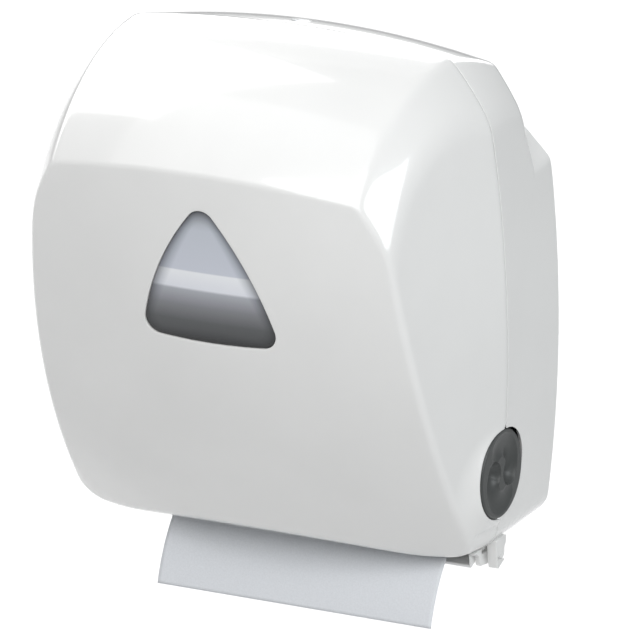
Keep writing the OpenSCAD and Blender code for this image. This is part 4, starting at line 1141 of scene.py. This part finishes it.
def make_roll():
    """A wound roll: soft edges, and ends ridged by the turns of paper."""
    left, right = PAPER_X
    half = []
    for i, r in enumerate(np.linspace(CORE_R + CORE_GAP, ROLL_R - ROLL_EDGE_FOOT, ROLL_TURNS)):
        half.append((ROLL_END_INSET + TURN_INSET * (i % 2) + WAVE_INSET * math.sin(i * WAVE), r))
    half += [(inset, ROLL_R - down) for inset, down in ROLL_EDGE]
    profile = [(left + inset, r) for inset, r in half]
    profile += [(right - inset, r) for inset, r in reversed(half)]
    points, faces = lathe_x(profile, ROLL_Y, ROLL_Z, ROLL_STEPS)
    roll = mesh_piece("towel_roll", points, faces, "roll", "towel_paper", sharp=60)
    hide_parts("paper_roll")


# Springs

def helix(length, r, turns):
    """A coil's middle line along Z."""
    a = np.linspace(0, math.tau * turns, turns * COIL_STEPS + 1)
    return np.stack([r * np.cos(a), r * np.sin(a), length * a / a[-1]], axis=1)


def make_return_spring():
    """The long spring of the crank, with a straight stub at each end."""
    low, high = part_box("return_spring")
    coil_r = (high.x - low.x) / MM / 2 - RETURN_WIRE_R
    start = ((low.x + high.x) / MM / 2, (low.y + high.y) / MM / 2, low.z / MM + RETURN_WIRE_R)
    length = high.z / MM - RETURN_WIRE_R - start[2]
    coil = helix(length - 2 * RETURN_STUB, coil_r, RETURN_TURNS) + (0, 0, RETURN_STUB)
    stub = [(0, 0, z) for z in (0, RETURN_STUB / 3, length - RETURN_STUB / 3, length)]
    path = np.concatenate([stub[:2], coil, stub[2:]])
    points, faces = tube(path + start, RETURN_WIRE_R, WIRE_SIDES)
    spring = mesh_piece("return_coil", points, faces, "rear_case", "steel")
    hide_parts("return_spring")


def make_plunger_spring():
    """The short spring round the plunger, which shuts as the plunger is pulled."""
    low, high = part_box("plunger_spring")
    coil_r = (high.z - low.z) / MM / 2 - PLUNGER_WIRE_R
    x0, x1 = low.x / MM + PLUNGER_WIRE_R, high.x / MM - PLUNGER_WIRE_R
    coil = helix(x1 - x0, coil_r, PLUNGER_TURNS)
    points, faces = tube(coil[:, [2, 0, 1]] + (x0, ROLL_Y, ROLL_Z), PLUNGER_WIRE_R, WIRE_SIDES)
    spring = mesh_piece("plunger_coil", points, faces, "rear_case", "steel")
    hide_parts("plunger_spring")
    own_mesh(spring)


make_cover()
make_case()
make_pins()
make_chute()
make_pane()
make_knob()
make_tail()
make_web()
make_roll()
make_return_spring()
make_plunger_spring()


# Floor, light and camera, in metres

FLOOR_Z = -1.3
FLOOR_HALF = 30.0
# The camera's angles, the width that it frames and the shift of its aim
AZIMUTH = math.radians(26.5)
ELEVATION = math.radians(18.24)
FRAME_W = 0.42867
VIEW_RIGHT = -0.01862
VIEW_UP = -0.0522
MIDDLE_BACK = 0.09
LENS = 600.0
SENSOR = 36.0
CLIP_END = 60.0
WORLD_COLOUR = (0.97, 0.985, 1.0)
WORLD_LEVEL = 0.35
FLOOR_GREY = 0.6
# Softboxes as name, place, point they face, size, power and, where it isn't white, colour
SOFTBOXES = [
    ("back_left", (-2.03, 0.81, 1.61), (-0.84, -0.19, -0.35), (1.97, 2.8), 33.0),
    ("behind_top", (-1.05, 2.25, 1.7), (0.0, -0.1, 0.0), (2.6, 2.2), 5.0),
    ("right", (2.545, -0.15, 0.73), (0.125, -0.19, 0.105), (1.31, 1.29), 20.0, (0.94, 0.98, 1.0)),
    ("key", (1.0, -2.42, 1.84), (0.0, -0.1, 0.0), (3.0, 2.4), 50.0),
    ("top_front", (-0.45, -1.7, 2.7), (0.0, -0.1, 0.0), (4.4, 3.4), 38.0),
    ("floor_wash", (-5.0, 4.6, 0.9), (-5.0, 4.6, -1.3), (10.0, 7.4), 470.0),
]


def make_floor():
    half = FLOOR_HALF
    corners = [(x, y, FLOOR_Z) for x, y in ((-half, -half), (half, -half), (half, half), (-half, half))]
    mesh = bpy.data.meshes.new("floor")
    mesh.from_pydata(corners, [], [(0, 1, 2, 3)])
    material, tree, shader = new_material("pale_floor", (FLOOR_GREY,) * 3, 0.8)
    darker, lighter = (FLOOR_GREY * 0.99,) * 3, (FLOOR_GREY * 1.01,) * 3
    mottle = ramp(tree, noise(tree, 0.4), [(0.3, darker), (0.7, lighter)])
    tree.links.new(mottle, shader.inputs["Base Color"])
    mesh.materials.append(material)
    floor = bpy.data.objects.new("floor", mesh)
    bpy.context.scene.collection.objects.link(floor)


def softbox(name, place, target, size, power, colour=(1, 1, 1)):
    """A rectangular lamp, not seen by the camera."""
    light = bpy.data.lights.new(name, "AREA")
    light.shape = "RECTANGLE"
    light.size, light.size_y = size
    light.energy = power
    light.color = colour
    lamp = bpy.data.objects.new(name, light)
    lamp.location = place
    lamp.rotation_mode = "QUATERNION"
    lamp.rotation_quaternion = (Vector(target) - Vector(place)).to_track_quat("-Z", "Y")
    lamp.visible_camera = False
    bpy.context.scene.collection.objects.link(lamp)


def make_light():
    world = bpy.data.worlds.new("studio")
    world.use_nodes = True
    world.node_tree.nodes["Background"].inputs["Color"].default_value = (*WORLD_COLOUR, 1)
    world.node_tree.nodes["Background"].inputs["Strength"].default_value = WORLD_LEVEL
    bpy.context.scene.world = world
    for row in SOFTBOXES:
        softbox(*row)


def make_camera():
    right = Vector((math.cos(AZIMUTH), math.sin(AZIMUTH), 0))
    back = Vector((math.sin(AZIMUTH) * math.cos(ELEVATION), -math.cos(AZIMUTH) * math.cos(ELEVATION),
                   math.sin(ELEVATION)))
    up = back.cross(right)
    data = bpy.data.cameras.new("camera")
    data.lens = LENS
    data.sensor_width = SENSOR
    data.clip_end = CLIP_END
    camera = bpy.data.objects.new("camera", data)
    distance = FRAME_W * LENS / SENSOR
    middle = VIEW_RIGHT * right + VIEW_UP * up + MIDDLE_BACK * back
    camera.location = middle + distance * back
    camera.rotation_mode = "QUATERNION"
    camera.rotation_quaternion = (-back).to_track_quat("-Z", "Y")
    bpy.context.scene.collection.objects.link(camera)
    bpy.context.scene.camera = camera
    bpy.context.scene.view_settings.view_transform = "Standard"


make_floor()
make_light()
make_camera()
